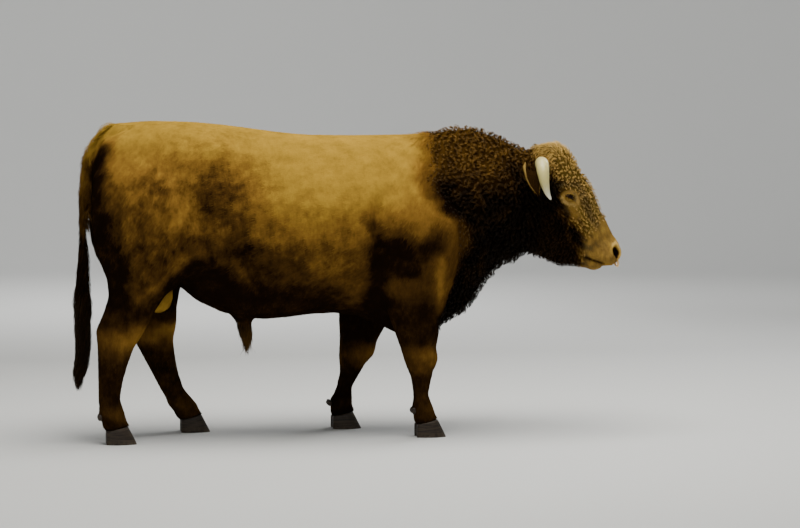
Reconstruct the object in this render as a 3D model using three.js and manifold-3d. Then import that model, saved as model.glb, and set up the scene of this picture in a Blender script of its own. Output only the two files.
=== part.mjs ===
// A life-size model of a heavy beef bull, standing in mid-stride with its head held forward and low.
// Millimetres, +Z up, +X towards the muzzle, +Y to the animal's left. The origin lies on the floor,
// under the middle of the overall box.
import * as THREE from "three";
import { mergeVertices } from "three/addons/utils/BufferGeometryUtils.js";
import Module from "manifold-3d";

const wasm = await Module();
wasm.setup();

// Driving dimensions. The x values of the tables below are counted from the root of the neck.
const cutGap = 0.5; // width of the thin cuts that part the body
const eyeRadius = 20;
const eyeCentre = [822, 117, 1137]; // on the left side; the right one mirrors it
const ringTube = 5;
const ringRadius = 34; // centre line of the nose ring
const ringCentre = [1090, 0, 826];
const ringLean = 0.25; // the ring's foot swings forward by this angle
const nostrilCentre = [1082, 56, 872];
const nostrilRadii = [20, 13, 26];
const nostrilTurn = 0.35;
const footSpread = 190; // from the middle of the body to each foot
const coronetRear = 62; // height of the hair line above the hoof at the heel
const coronetRise = 0.22; // and how steeply it climbs towards the toe
const clawLength = 148;
const clawHalfWidth = 30;
const clawSpacing = 32;
const clawToeIn = 14; // how far the tip of each claw turns in towards its fellow
const clawOverhang = 4; // how far the heel stands out behind the pastern
const dewclawHeight = 126;
const dewclawSpacing = 24;
const dewclawSink = 6; // how far its middle lies inside the back of the fetlock
const dewclawRadii = [15, 14, 19];
const uprightBelow = 100; // the feet stand upright below this height, however the leg slants
const neckFoot = { x: 352, z: 600 };
const neckTop = { x: 150, z: 1462 };
const napeFoot = { x: 655, z: 850 };
const napeTop = { x: 596, z: 1400 };
const mouthFront = { x: 1040, z: 805 };
const mouthCorner = { x: 925, z: 845 };
const jawFoot = { x: 868, z: 790 }; // where the cut down from the corner of the mouth leaves the jaw
const girthCut = -240;
const loinCut = -870;
const kneeHeight = 392;
const hockHeight = 470;
const elbowCut = 772;
const stifleCut = 812;
const tailCuts = [1010, 690];

// How far each leg is set forward at the floor, and the height at which it swings.
const stride = {
  fore: { left: -385, right: 0, pivot: 950, bend: 0.9 },
  hind: { left: 425, right: 0, pivot: 900, bend: 1.1 },
};

// Torso and neck in upright cross-sections: top, bottom, and half-widths high, midway and low.
const torso = [
  { at: -1480, hi: 1385, lo: 985, wide: [106, 142, 112] }, // buttocks
  { at: -1330, hi: 1494, lo: 885, wide: [196, 225, 165] }, // pin bones
  { at: -1150, hi: 1511, lo: 788, wide: [245, 262, 200] },
  { at: -1000, hi: 1508, lo: 665, wide: [275, 292, 240] }, // hip joint
  { at: -940, hi: 1504, lo: 623, wide: [279, 303, 256] },
  { at: -880, hi: 1499, lo: 597, wide: [280, 312, 270] }, // hook bones
  { at: -720, hi: 1481, lo: 555, wide: [255, 342, 310] }, // flank
  { at: -550, hi: 1458, lo: 561, wide: [258, 372, 340] },
  { at: -350, hi: 1445, lo: 580, wide: [268, 386, 340] }, // barrel
  { at: -150, hi: 1446, lo: 551, wide: [265, 366, 300] },
  { at: -50, hi: 1449, lo: 482, wide: [250, 350, 262] },
  { at: 40, hi: 1452, lo: 464, wide: [230, 332, 242] }, // girth
  { at: 140, hi: 1458, lo: 480, wide: [200, 318, 222] }, // withers and brisket
  { at: 230, hi: 1483, lo: 516, wide: [172, 302, 205] },
  { at: 305, hi: 1495, lo: 565, wide: [158, 280, 185] }, // crest
  { at: 350, hi: 1491, lo: 615, wide: [152, 264, 165] },
  { at: 400, hi: 1480, lo: 697, wide: [146, 248, 146] },
  { at: 460, hi: 1464, lo: 756, wide: [140, 230, 132] },
  { at: 525, hi: 1446, lo: 797, wide: [130, 208, 122] },
  { at: 585, hi: 1393, lo: 829, wide: [122, 188, 112] },
  { at: 640, hi: 1364, lo: 846, wide: [112, 168, 105] }, // nape and throat
  { at: 720, hi: 1335, lo: 880, wide: [88, 125, 85] },
];

// Legs in level cross-sections, top first: front edge, rear edge, distance out, half-thickness.
const foreleg = [
  { at: 1330, hi: 100, lo: -60, out: 150, wide: [48, 52, 48] }, // top of the shoulder blade
  { at: 1200, hi: 190, lo: -100, out: 206, wide: [78, 86, 80] },
  { at: 1080, hi: 248, lo: -115, out: 234, wide: [96, 106, 98] },
  { at: 960, hi: 280, lo: -126, out: 246, wide: [104, 117, 104] }, // point of the shoulder
  { at: 860, hi: 250, lo: -136, out: 244, wide: [100, 114, 102] },
  { at: 775, hi: 214, lo: -141, out: 238, wide: [92, 105, 94] }, // elbow
  { at: 700, hi: 203, lo: -130, out: 231, wide: [86, 97, 84] },
  { at: 620, hi: 193, lo: -101, out: 221, wide: [76, 85, 70] },
  { at: 550, hi: 180, lo: -76, out: 212, wide: [66, 74, 60] },
  { at: 490, hi: 166, lo: -52, out: 204, wide: [61, 66, 54] },
  { at: 437, hi: 156, lo: -31, out: 200, wide: [59, 60, 51] },
  { at: 385, hi: 156, lo: -15, out: 197, wide: [58, 59, 50] }, // knee
  { at: 335, hi: 156, lo: 2, out: 194, wide: [52, 53, 46] },
  { at: 290, hi: 137, lo: 23, out: 192, wide: [44, 46, 39] },
  { at: 235, hi: 117, lo: 36, out: 191, wide: [38, 40, 34] }, // cannon
  { at: 180, hi: 119, lo: 38, out: 190, wide: [39, 42, 37] },
  { at: 138, hi: 138, lo: 34, out: 190, wide: [46, 52, 48] }, // fetlock
  { at: 98, hi: 151, lo: 54, out: 190, wide: [44, 50, 48] }, // pastern
  { at: 50, hi: 174, lo: 54, out: 190, wide: [50, 56, 54] },
];
const hindleg = [
  { at: 1385, hi: -1085, lo: -1345, out: 122, wide: [56, 62, 56] }, // hip
  { at: 1290, hi: -1002, lo: -1448, out: 152, wide: [88, 96, 84] },
  { at: 1180, hi: -946, lo: -1472, out: 178, wide: [112, 122, 106] },
  { at: 1050, hi: -914, lo: -1480, out: 195, wide: [122, 136, 120] }, // thigh
  { at: 930, hi: -903, lo: -1468, out: 203, wide: [122, 139, 122] },
  { at: 860, hi: -922, lo: -1447, out: 206, wide: [116, 133, 114] },
  { at: 800, hi: -968, lo: -1422, out: 207, wide: [104, 121, 100] }, // stifle
  { at: 745, hi: -1050, lo: -1404, out: 207, wide: [90, 106, 84] },
  { at: 695, hi: -1120, lo: -1399, out: 205, wide: [80, 94, 68] },
  { at: 630, hi: -1166, lo: -1415, out: 202, wide: [68, 78, 46] },
  { at: 575, hi: -1198, lo: -1445, out: 199, wide: [62, 66, 36] },
  { at: 533, hi: -1217, lo: -1460, out: 197, wide: [58, 60, 38] }, // hock
  { at: 478, hi: -1257, lo: -1454, out: 195, wide: [57, 59, 47] },
  { at: 420, hi: -1286, lo: -1450, out: 194, wide: [53, 54, 45] },
  { at: 350, hi: -1308, lo: -1450, out: 193, wide: [47, 48, 40] },
  { at: 270, hi: -1331, lo: -1448, out: 192, wide: [42, 44, 37] }, // cannon
  { at: 195, hi: -1340, lo: -1447, out: 191, wide: [42, 45, 40] },
  { at: 140, hi: -1321, lo: -1443, out: 190, wide: [48, 54, 50] }, // fetlock
  { at: 98, hi: -1309, lo: -1417, out: 190, wide: [44, 50, 48] }, // pastern
  { at: 50, hi: -1286, lo: -1409, out: 190, wide: [50, 56, 54] },
];

// Head in cross-sections square to the line of the face, counted from the poll to the muzzle.
// hi and lo are distances below that line, so hi is the forehead and lo the jaw.
const facePoll = { x: 850, z: 1400 };
const faceSlope = THREE.MathUtils.degToRad(62);
const head = [
  { at: -72, hi: 72, lo: 250, wide: [68, 84, 60] },
  { at: -10, hi: 27, lo: 300, wide: [96, 120, 92] }, // poll
  { at: 50, hi: 4, lo: 345, wide: [114, 134, 106] },
  { at: 113, hi: 9, lo: 380, wide: [121, 139, 110] }, // forehead
  { at: 178, hi: -3, lo: 405, wide: [119, 140, 106] },
  { at: 244, hi: -5, lo: 420, wide: [110, 138, 98] }, // eyes
  { at: 330, hi: 4, lo: 424, wide: [88, 124, 84] },
  { at: 400, hi: 9, lo: 412, wide: [72, 104, 70] }, // cheeks
  { at: 440, hi: 12, lo: 380, wide: [67, 92, 62] },
  { at: 485, hi: 13, lo: 344, wide: [66, 84, 56] },
  { at: 522, hi: 10, lo: 308, wide: [70, 82, 52] },
  { at: 552, hi: 5, lo: 246, wide: [77, 87, 54] },
  { at: 578, hi: 7, lo: 205, wide: [81, 91, 56] }, // nostrils
  { at: 604, hi: 14, lo: 186, wide: [78, 88, 56] },
  { at: 632, hi: 28, lo: 176, wide: [70, 78, 52] }, // lips
];

// The tail's centre line, from inside the rump down to the end of the switch.
const tailLine = [
  { x: -1270, z: 1462, r: 40 },
  { x: -1335, z: 1452, r: 36 },
  { x: -1403, z: 1414, r: 30 },
  { x: -1451, z: 1369, r: 25 },
  { x: -1486, z: 1293, r: 20 },
  { x: -1502, z: 1189, r: 19 },
  { x: -1500, z: 1010, r: 21 },
  { x: -1498, z: 878, r: 24 },
  { x: -1502, z: 720, r: 32 },
  { x: -1509, z: 553, r: 42 },
  { x: -1508, z: 440, r: 42 },
  { x: -1513, z: 370, r: 37 },
  { x: -1526, z: 300, r: 27 },
  { x: -1531, z: 222, r: 9 },
];
const hornLine = [
  { x: 690, y: 88, z: 1298, r: 34 },
  { x: 676, y: 135, z: 1303, r: 35 },
  { x: 664, y: 183, z: 1298, r: 35 },
  { x: 659, y: 220, z: 1264, r: 32 },
  { x: 665, y: 236, z: 1213, r: 24 },
  { x: 679, y: 236, z: 1165, r: 14.5 },
  { x: 702, y: 228, z: 1127, r: 3 },
];
const earLine = [
  { x: 648, y: 86, z: 1228, half: 22, thick: 18 },
  { x: 632, y: 120, z: 1250, half: 32, thick: 14 },
  { x: 619, y: 155, z: 1259, half: 51, thick: 9 },
  { x: 614, y: 186, z: 1240, half: 54, thick: 8 },
  { x: 620, y: 204, z: 1206, half: 42, thick: 7 },
  { x: 632, y: 214, z: 1172, half: 19, thick: 6 },
  { x: 642, y: 218, z: 1151, half: 3, thick: 3 },
];
const earWidthWay = new THREE.Vector3(-0.93, 0.05, 0.34).normalize();
const earCup = 0.5; // how deeply the leaf of the ear is hollowed
const sheath = [
  { at: 640, hi: -665, lo: -850, out: 0, wide: [38, 42, 38] },
  { at: 585, hi: -686, lo: -826, out: 0, wide: [36, 40, 34] },
  { at: 545, hi: -702, lo: -792, out: 0, wide: [29, 31, 27] },
  { at: 505, hi: -705, lo: -770, out: 0, wide: [22, 23, 21] },
  { at: 470, hi: -708, lo: -760, out: 0, wide: [15, 15, 14] },
  { at: 440, hi: -722, lo: -748, out: 0, wide: [8, 8, 7] },
];
const scrotum = [
  { at: 840, hi: -1105, lo: -1200, out: 0, wide: [40, 44, 40] },
  { at: 770, hi: -1095, lo: -1205, out: 0, wide: [42, 46, 42] },
  { at: 715, hi: -1078, lo: -1209, out: 0, wide: [58, 66, 58] },
  { at: 655, hi: -1075, lo: -1210, out: 0, wide: [62, 70, 62] },
  { at: 590, hi: -1110, lo: -1196, out: 0, wide: [40, 46, 40] },
];

// Cubic interpolation of one value of a table, whose rows may run up or down.
function valueAt(rows, read, at) {
  const way = Math.sign(rows.at(-1).at - rows[0].at);
  let i = 0;
  while (i < rows.length - 2 && way * at > way * rows[i + 1].at) i += 1;
  const slope = (j) => {
    const a = rows[Math.max(j - 1, 0)];
    const b = rows[Math.min(j + 1, rows.length - 1)];
    return (read(b) - read(a)) / (b.at - a.at);
  };
  const step = rows[i + 1].at - rows[i].at;
  const t = (at - rows[i].at) / step;
  const bend = t * t * (3 - 2 * t);
  const ends = read(rows[i]) * (1 - bend) + read(rows[i + 1]) * bend;
  const lean = slope(i) * (1 - t) - slope(i + 1) * t;
  return ends + step * t * (1 - t) * lean;
}

// Turns corner positions and triangles into a solid whose faces point out.
function solidOf(corners, faces) {
  const positions = new Float32Array(corners.flatMap((p) => [p.x, p.y, p.z]));
  let volume = 0;
  for (const [a, b, c] of faces) {
    volume += corners[a].dot(new THREE.Vector3().crossVectors(corners[b], corners[c]));
  }
  const ordered = volume < 0 ? faces.map(([a, b, c]) => [a, c, b]) : faces;
  const mesh = new wasm.Mesh({
    numProp: 3,
    vertProperties: positions,
    triVerts: new Uint32Array(ordered.flat()),
  });
  return new wasm.Manifold(mesh);
}

// Joins rings of equal length into one closed skin, with a point at the middle of each end.
function skinOver(rings, firstPoint, lastPoint) {
  const count = rings[0].length;
  const corners = [firstPoint, ...rings.flat(), lastPoint];
  const last = corners.length - 1;
  const faces = [];
  const corner = (ring, k) => 1 + ring * count + (k % count);
  for (let k = 0; k < count; k += 1) {
    faces.push([0, corner(0, k + 1), corner(0, k)]);
    faces.push([last, corner(rings.length - 1, k), corner(rings.length - 1, k + 1)]);
    for (let i = 0; i < rings.length - 1; i += 1) {
      faces.push([corner(i, k), corner(i, k + 1), corner(i + 1, k + 1)]);
      faces.push([corner(i, k), corner(i + 1, k + 1), corner(i + 1, k)]);
    }
  }
  return solidOf(corners, faces);
}

// Places of the rings between two ends: evenly spaced, and closer where an end is rounded.
function ringPlaces(from, to, count, roundFrom, roundTo) {
  const way = Math.sign(to - from);
  const crowd = [0.04, 0.16, 0.4, 0.7];
  const places = [];
  if (roundFrom) places.push(...crowd.map((c) => from + way * roundFrom * c));
  const start = from + way * roundFrom;
  const end = to - way * roundTo;
  for (let i = 0; i < count; i += 1) places.push(start + ((end - start) * i) / (count - 1));
  if (roundTo) places.push(...crowd.toReversed().map((c) => to - way * roundTo * c));
  return places;
}

// A solid through a table of cross-sections. place() turns a section's place, the distance aside, the
// middle of its depth and the distance from that middle into a point in space.
function loft(rows, { rings, segments, round = [0, 0], power = 2.3, grow = 0, place }) {
  const from = rows[0].at;
  const to = rows.at(-1).at;
  const at3 = (at, key) => valueAt(rows, (r) => r.wide[key], at);
  const shrink = (gap, reach) => (gap < reach ? Math.sqrt(1 - (1 - gap / reach) ** 2) : 1);
  const middle = (at) => valueAt(rows, (r) => (r.hi + r.lo) / 2, at);
  const aside = (at) => valueAt(rows, (r) => r.out ?? 0, at);
  const made = ringPlaces(from, to, rings, round[0], round[1]).map((at) => {
    const scale = shrink(Math.abs(at - from), round[0]) * shrink(Math.abs(to - at), round[1]);
    const half = valueAt(rows, (r) => Math.abs(r.hi - r.lo) / 2, at) * scale + grow;
    const wide = [at3(at, 0), at3(at, 1), at3(at, 2)].map((w) => w * scale + grow);
    const ring = [];
    for (let k = 0; k < segments; k += 1) {
      const turn = (2 * Math.PI * (k + 0.5)) / segments;
      const share = (1 - Math.cos(turn)) / 2;
      const lower = Math.min(share * 2, 1);
      const upper = Math.max(share * 2 - 1, 0);
      const ease = (t) => t * t * (3 - 2 * t);
      const width = wide[0] + (wide[1] - wide[0]) * ease(lower) + (wide[2] - wide[1]) * ease(upper);
      const across = Math.sign(Math.sin(turn)) * Math.abs(Math.sin(turn)) ** (2 / power) * width;
      const deep = Math.sign(Math.cos(turn)) * Math.abs(Math.cos(turn)) ** (2 / power) * half;
      ring.push(place(at, aside(at) + across, middle(at), deep));
    }
    return ring;
  });
  const grownEnd = (at, sign) => place(at + sign * grow, aside(at), middle(at), 0);
  const way = Math.sign(to - from);
  return skinOver(made, grownEnd(from, -way), grownEnd(to, way));
}

// A solid along a curve. outline(share, turn) gives the offset along the side and normal ways.
// To grow it, the outline is widened by the caller, and both ends are moved outwards here.
function tubeAlong(points, { steps, segments, sideWay, outline, grow = 0 }) {
  const curve = new THREE.CatmullRomCurve3(points.map((p) => new THREE.Vector3(p.x, p.y ?? 0, p.z)));
  const endShift = (i) => (i === 0 ? -grow : i === steps ? grow : 0);
  const rings = [];
  const centres = [];
  for (let i = 0; i <= steps; i += 1) {
    const share = i / steps;
    const along = curve.getTangent(share);
    const side = sideWay.clone().addScaledVector(along, -sideWay.dot(along)).normalize();
    const normal = new THREE.Vector3().crossVectors(along, side);
    const centre = curve.getPoint(share).addScaledVector(along, endShift(i));
    const ring = [];
    for (let k = 0; k < segments; k += 1) {
      const [a, b] = outline(share, (2 * Math.PI * k) / segments);
      ring.push(centre.clone().addScaledVector(side, a).addScaledVector(normal, b));
    }
    centres.push(centre);
    rings.push(ring);
  }
  return skinOver(rings, centres[0], centres.at(-1));
}

// Reads one size of a list of points as a smooth function of the share along it.
function sizeAlong(points, name) {
  const rows = points.map((p, i) => ({ at: i / (points.length - 1), size: p[name] }));
  return (share) => Math.max(valueAt(rows, (r) => r.size, share), 1.5);
}

// Turns a three.js geometry, which may be moved by a matrix, into a solid.
function solidFrom(geometry, matrix = new THREE.Matrix4()) {
  const bare = geometry.clone().applyMatrix4(matrix);
  bare.deleteAttribute("normal");
  bare.deleteAttribute("uv");
  const merged = mergeVertices(bare, 1e-4);
  return new wasm.Manifold(
    new wasm.Mesh({
      numProp: 3,
      vertProperties: merged.attributes.position.array,
      triVerts: new Uint32Array(merged.index.array),
    }),
  );
}

// A huge block that fills the side of an upright-standing plane that its normal points to.
// The plane runs crosswise through two points of the side view.
function beyond(a, b, shift) {
  const size = 4000;
  const lean = Math.atan2(b.z - a.z, b.x - a.x);
  const matrix = new THREE.Matrix4()
    .makeTranslation(a.x, 0, a.z)
    .multiply(new THREE.Matrix4().makeRotationY(-lean))
    .multiply(new THREE.Matrix4().makeTranslation(0, 0, size / 2 + shift));
  return solidFrom(new THREE.BoxGeometry(size, size, size), matrix);
}

// Splits a solid along such a plane, leaving the cut's gap: [beyond it, short of it].
function partAlong(solid, a, b) {
  return [solid.intersect(beyond(a, b, cutGap / 2)), solid.subtract(beyond(a, b, -cutGap / 2))];
}

const level = (z) => [{ x: 0, z }, { x: 1, z }];
const upright = (x) => [{ x, z: 1 }, { x, z: 0 }];
const mirrored = (solid) => solid.mirror([0, 1, 0]);

// Where a leg's section moves to when the foot is set forward or back, below the joint it swings from.
function strideShift(z, { ahead, pivot, bend }) {
  return ahead * Math.max(1 - Math.max(z, uprightBelow) / pivot, 0) ** bend;
}

const sideSign = { left: 1, right: -1 };
const swingOf = (leg, side) => ({ ...stride[leg], ahead: stride[leg][side] });

// A slanting leg is cut by level planes, so its sections are longer the more it leans.
function legLoft(rows, leg, side) {
  const swing = swingOf(leg, side);
  return loft(rows, {
    rings: 17,
    segments: 12,
    round: [60, 0],
    power: 2.25,
    place: (z, y, middle, deep) => {
      const lean = (strideShift(z + 5, swing) - strideShift(z - 5, swing)) / 10;
      const x = middle + deep * Math.hypot(1, lean) + strideShift(z, swing);
      return new THREE.Vector3(x, sideSign[side] * y, z);
    },
  });
}

function torsoLoft(grow = 0) {
  return loft(torso, {
    rings: 20,
    segments: 20,
    round: [70, 60],
    power: 2.35,
    grow,
    place: (x, y, middle, deep) => new THREE.Vector3(x, y, middle + deep),
  });
}

// A point of the head, from its distance along and below the line of the face.
function facePoint(along, aside, middle, deep) {
  const below = middle + deep;
  const x = facePoll.x + along * Math.cos(faceSlope) - below * Math.sin(faceSlope);
  const z = facePoll.z - along * Math.sin(faceSlope) - below * Math.cos(faceSlope);
  return new THREE.Vector3(x, aside, z);
}

function headLoft() {
  return loft(head, { rings: 14, segments: 18, round: [50, 34], power: 2.4, place: facePoint });
}

function roundTube(points, steps, segments, grow = 0) {
  const radius = sizeAlong(points, "r");
  return tubeAlong(points, {
    steps,
    segments,
    grow,
    sideWay: new THREE.Vector3(0.3, 1, 0.1),
    outline: (share, turn) => [
      (radius(share) + grow) * Math.cos(turn),
      (radius(share) + grow) * Math.sin(turn),
    ],
  });
}

function earLeaf(grow = 0) {
  const half = sizeAlong(earLine, "half");
  const thick = sizeAlong(earLine, "thick");
  return tubeAlong(earLine, {
    steps: 9,
    segments: 10,
    grow,
    sideWay: earWidthWay,
    outline: (share, turn) => {
      const across = (half(share) + grow) * Math.cos(turn);
      const hollow = (earCup * across ** 2) / half(share);
      return [across, (thick(share) + 2 * grow) * Math.sin(turn) + hollow];
    },
  });
}

function ball(centre, radii, segments, turnY = 0) {
  const matrix = new THREE.Matrix4()
    .makeTranslation(...centre)
    .multiply(new THREE.Matrix4().makeRotationY(turnY))
    .multiply(new THREE.Matrix4().makeScale(...radii));
  return solidFrom(new THREE.SphereGeometry(1, segments, Math.round(segments * 0.7)), matrix);
}

function noseRing(grow = 0) {
  const matrix = new THREE.Matrix4()
    .makeTranslation(...ringCentre)
    .multiply(new THREE.Matrix4().makeRotationY(Math.PI / 2 - ringLean));
  return solidFrom(new THREE.TorusGeometry(ringRadius, ringTube + grow, 6, 18), matrix);
}

// One claw of a cloven hoof, from the x of its heel and its distance to the side.
function claw(heel, out, towardsMiddle) {
  const side = (z, front, rear, wide) => {
    return { at: z, hi: heel + clawLength - front, lo: heel + rear, out, wide };
  };
  const rows = [
    side(0, 0, 0, [20, clawHalfWidth, 26]),
    side(30, 14, -3, [21, clawHalfWidth, 27]),
    side(62, 32, 2, [22, clawHalfWidth - 2, 27]),
    side(110, 56, 14, [21, 26, 24]),
  ];
  return loft(rows, {
    rings: 3,
    segments: 12,
    power: 2.5,
    place: (z, y, middle, deep) => {
      const toe = Math.max((middle + deep - heel) / clawLength - 0.5, 0);
      return new THREE.Vector3(middle + deep, y + towardsMiddle * clawToeIn * toe * toe, z);
    },
  });
}

// Colours and finishes.
const finish = (color, roughness, metalness = 0) =>
  new THREE.MeshStandardMaterial({ color, roughness, metalness });
const coat = finish(0x8a5a26, 0.85);
const mane = finish(0x5a3314, 0.9);
const darkHair = finish(0x23150b, 0.85);
const hornFinish = finish(0xe6dcc0, 0.45);
const hoof = finish(0x3a2e26, 0.55);
const eyeFinish = finish(0x120b08, 0.1);
const bareSkin = finish(0x9a7a4c, 0.7);
const metal = finish(0xb9a06a, 0.3, 1);

const bull = new THREE.Group();
bull.name = "bull";

function add(name, solid, material) {
  const made = solid.getMesh();
  const geometry = new THREE.BufferGeometry();
  const positions = new Float32Array(made.numVert * 3);
  for (let i = 0; i < made.numVert; i += 1) {
    const start = i * made.numProp;
    positions.set(made.vertProperties.subarray(start, start + 3), i * 3);
  }
  geometry.setAttribute("position", new THREE.BufferAttribute(positions, 3));
  geometry.setIndex(new THREE.BufferAttribute(new Uint32Array(made.triVerts), 1));
  geometry.computeVertexNormals();
  const mesh = new THREE.Mesh(geometry, material);
  mesh.name = name;
  bull.add(mesh);
}

// Legs and feet. Their upper ends belong to the trunk.
const torsoGrown = torsoLoft(2 * cutGap);
let trunkWhole = torsoLoft();
const legKinds = {
  fore: { rows: foreleg, top: elbowCut, joint: kneeHeight, names: ["forearm", "foreshank"] },
  hind: { rows: hindleg, top: stifleCut, joint: hockHeight, names: ["gaskin", "hindshank"] },
};
for (const side of ["left", "right"]) {
  for (const [leg, { rows, top, joint, names }] of Object.entries(legKinds)) {
    const [upper, lower] = partAlong(legLoft(rows, leg, side), ...level(top));
    trunkWhole = trunkWhole.add(upper);
    const [thick, thin] = partAlong(lower.subtract(torsoGrown), ...level(joint));
    const footShift = strideShift(0, swingOf(leg, side));
    const heel = rows.at(-1).lo + footShift - clawOverhang;
    const hairLine = [
      { x: heel, z: coronetRear },
      { x: heel + clawLength, z: coronetRear + clawLength * coronetRise },
    ];
    let shank = partAlong(thin, ...hairLine)[0];
    for (const [claws, way] of [["inner", -1], ["outer", 1]]) {
      const out = sideSign[side] * (footSpread + way * clawSpacing);
      const name = `${leg}_${side}_${claws}`;
      add(`claw_${name}`, partAlong(claw(heel, out, -way * sideSign[side]), ...hairLine)[1], hoof);
      const fetlockRear = rows.at(-3).lo + footShift + dewclawSink;
      const dewclawOut = sideSign[side] * (footSpread + way * dewclawSpacing);
      const place = [fetlockRear, dewclawOut, dewclawHeight];
      shank = shank.subtract(ball(place, dewclawRadii.map((r) => r + 2 * cutGap), 6));
      add(`dewclaw_${name}`, ball(place, dewclawRadii, 6), hoof);
    }
    add(`${names[0]}_${side}`, thick, coat);
    add(`${names[1]}_${side}`, shank, coat);
  }
}

// Tail.
const tailTube = roundTube(tailLine, 20, 8);
const [tailRoot, tailRest] = partAlong(tailTube, ...level(tailCuts[0]));
const [tailMiddle, tailSwitch] = partAlong(tailRest, ...level(tailCuts[1]));
add("tail_root", tailRoot, coat);
add("tail_middle", tailMiddle, coat);
add("tail_switch", tailSwitch, darkHair);

// Sheath and scrotum hang from the belly.
const hanging = (rows, round) =>
  loft(rows, {
    rings: 5,
    segments: 8,
    round,
    power: 2.1,
    place: (z, y, middle, deep) => new THREE.Vector3(middle + deep, y, z),
  }).subtract(torsoGrown);
add("sheath", hanging(sheath, [0, 14]), mane);
add("scrotum", hanging(scrotum, [0, 34]), bareSkin);

// Trunk and neck share one run of sections, parted in front of the shoulders.
const trunkCut = trunkWhole.subtract(roundTube(tailLine, 20, 8, 2 * cutGap));
const [neckOn, trunk] = partAlong(trunkCut, neckTop, neckFoot);
const [shoulders, behindShoulders] = partAlong(trunk, ...upright(girthCut));
const [barrel, rump] = partAlong(behindShoulders, ...upright(loinCut));
add("shoulders", shoulders, coat);
add("barrel", barrel, coat);
add("rump", rump, coat);

// Head and neck, with sockets for the ears, horns, eyes and nose ring.
const horn = roundTube(hornLine, 12, 8);
const hornSocket = roundTube(hornLine, 12, 8, 2 * cutGap);
const ear = earLeaf().subtract(hornSocket);
const eye = ball(eyeCentre, Array(3).fill(eyeRadius), 10);
const eyeSocket = ball(eyeCentre, Array(3).fill(eyeRadius + 2 * cutGap), 10);
const nostril = ball(nostrilCentre, nostrilRadii, 8, nostrilTurn);
let neckAndHead = neckOn.add(headLoft()).subtract(noseRing(2 * cutGap));
for (const hollow of [hornSocket, earLeaf(2 * cutGap), eyeSocket, nostril]) {
  neckAndHead = neckAndHead.subtract(hollow).subtract(mirrored(hollow));
}
const [face, neck] = partAlong(neckAndHead, napeTop, napeFoot);
add("neck", neck, mane);
const jawBlock = (shift) =>
  beyond(mouthFront, mouthCorner, shift).intersect(beyond(mouthCorner, jawFoot, shift));
add("head", face.subtract(jawBlock(-cutGap / 2)), coat);
add("jaw", face.intersect(jawBlock(cutGap / 2)), coat);
for (const side of ["left", "right"]) {
  const own = side === "left" ? (solid) => solid : mirrored;
  add(`horn_${side}`, own(horn), hornFinish);
  add(`ear_${side}`, own(ear), coat);
  add(`eye_${side}`, own(eye), eyeFinish);
}
add("nose_ring", noseRing(), metal);

// The middle of the overall box comes to the origin.
const box = new THREE.Box3().setFromObject(bull);
const middle = box.getCenter(new THREE.Vector3());
bull.position.set(-middle.x, -middle.y, -box.min.z);

export default bull;
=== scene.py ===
import itertools
import math

import bmesh
import bpy
import numpy as np
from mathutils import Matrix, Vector
from mathutils.bvhtree import BVHTree
from mathutils.kdtree import KDTree


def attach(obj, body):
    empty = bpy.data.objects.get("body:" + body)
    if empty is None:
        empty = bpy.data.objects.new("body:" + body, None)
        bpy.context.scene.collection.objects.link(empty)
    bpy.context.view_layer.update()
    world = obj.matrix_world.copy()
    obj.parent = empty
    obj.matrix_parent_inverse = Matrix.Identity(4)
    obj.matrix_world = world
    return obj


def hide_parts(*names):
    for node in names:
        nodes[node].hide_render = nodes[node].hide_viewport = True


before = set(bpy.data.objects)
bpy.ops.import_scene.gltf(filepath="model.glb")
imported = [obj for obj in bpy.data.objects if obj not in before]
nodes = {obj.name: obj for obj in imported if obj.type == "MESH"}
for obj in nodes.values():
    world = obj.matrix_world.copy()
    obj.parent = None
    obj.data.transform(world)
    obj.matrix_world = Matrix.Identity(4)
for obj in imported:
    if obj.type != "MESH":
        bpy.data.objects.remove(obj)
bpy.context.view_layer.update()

sides = {"left": 1.0, "right": -1.0}
coatShare = 1.0  # part of the tufts made while trying things


# camera, floor and light
studio = {
    "cameraPlace": (-1.564, -9.877, 1.34),
    "cameraAim": (0.221, -0.035, 0.816),
    "lens": 93.6,
    "skyColour": (0.83, 0.88, 0.93, 1.0),
    "skyStrength": 0.17,
    "lamps": {  # place, aim, width, watts, colour
        "overhead": ((0.3, -0.6, 5.6), (0.0, 0.0, 0.9), 4.6, 560.0, (1.0, 0.985, 0.94)),
        "front": ((-4.5, -8.0, 3.6), (0.0, 0.0, 0.9), 3.5, 90.0, (1.0, 0.98, 0.95)),
        "rim": ((4.5, 4.0, 4.2), (0.2, 0.0, 1.1), 3.0, 160.0, (0.97, 0.98, 1.0)),
    },
    "wallLamps": {"out": 6.5, "height": 7.0, "aimOut": 18.5, "aimHeight": 2.5, "width": 4.0, "watts": 1100.0},
}


def aimedAt(piece, place, aim):
    piece.location = place
    piece.rotation_euler = (Vector(aim) - Vector(place)).to_track_quat("-Z", "Y").to_euler()
    bpy.context.scene.collection.objects.link(piece)


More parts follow.
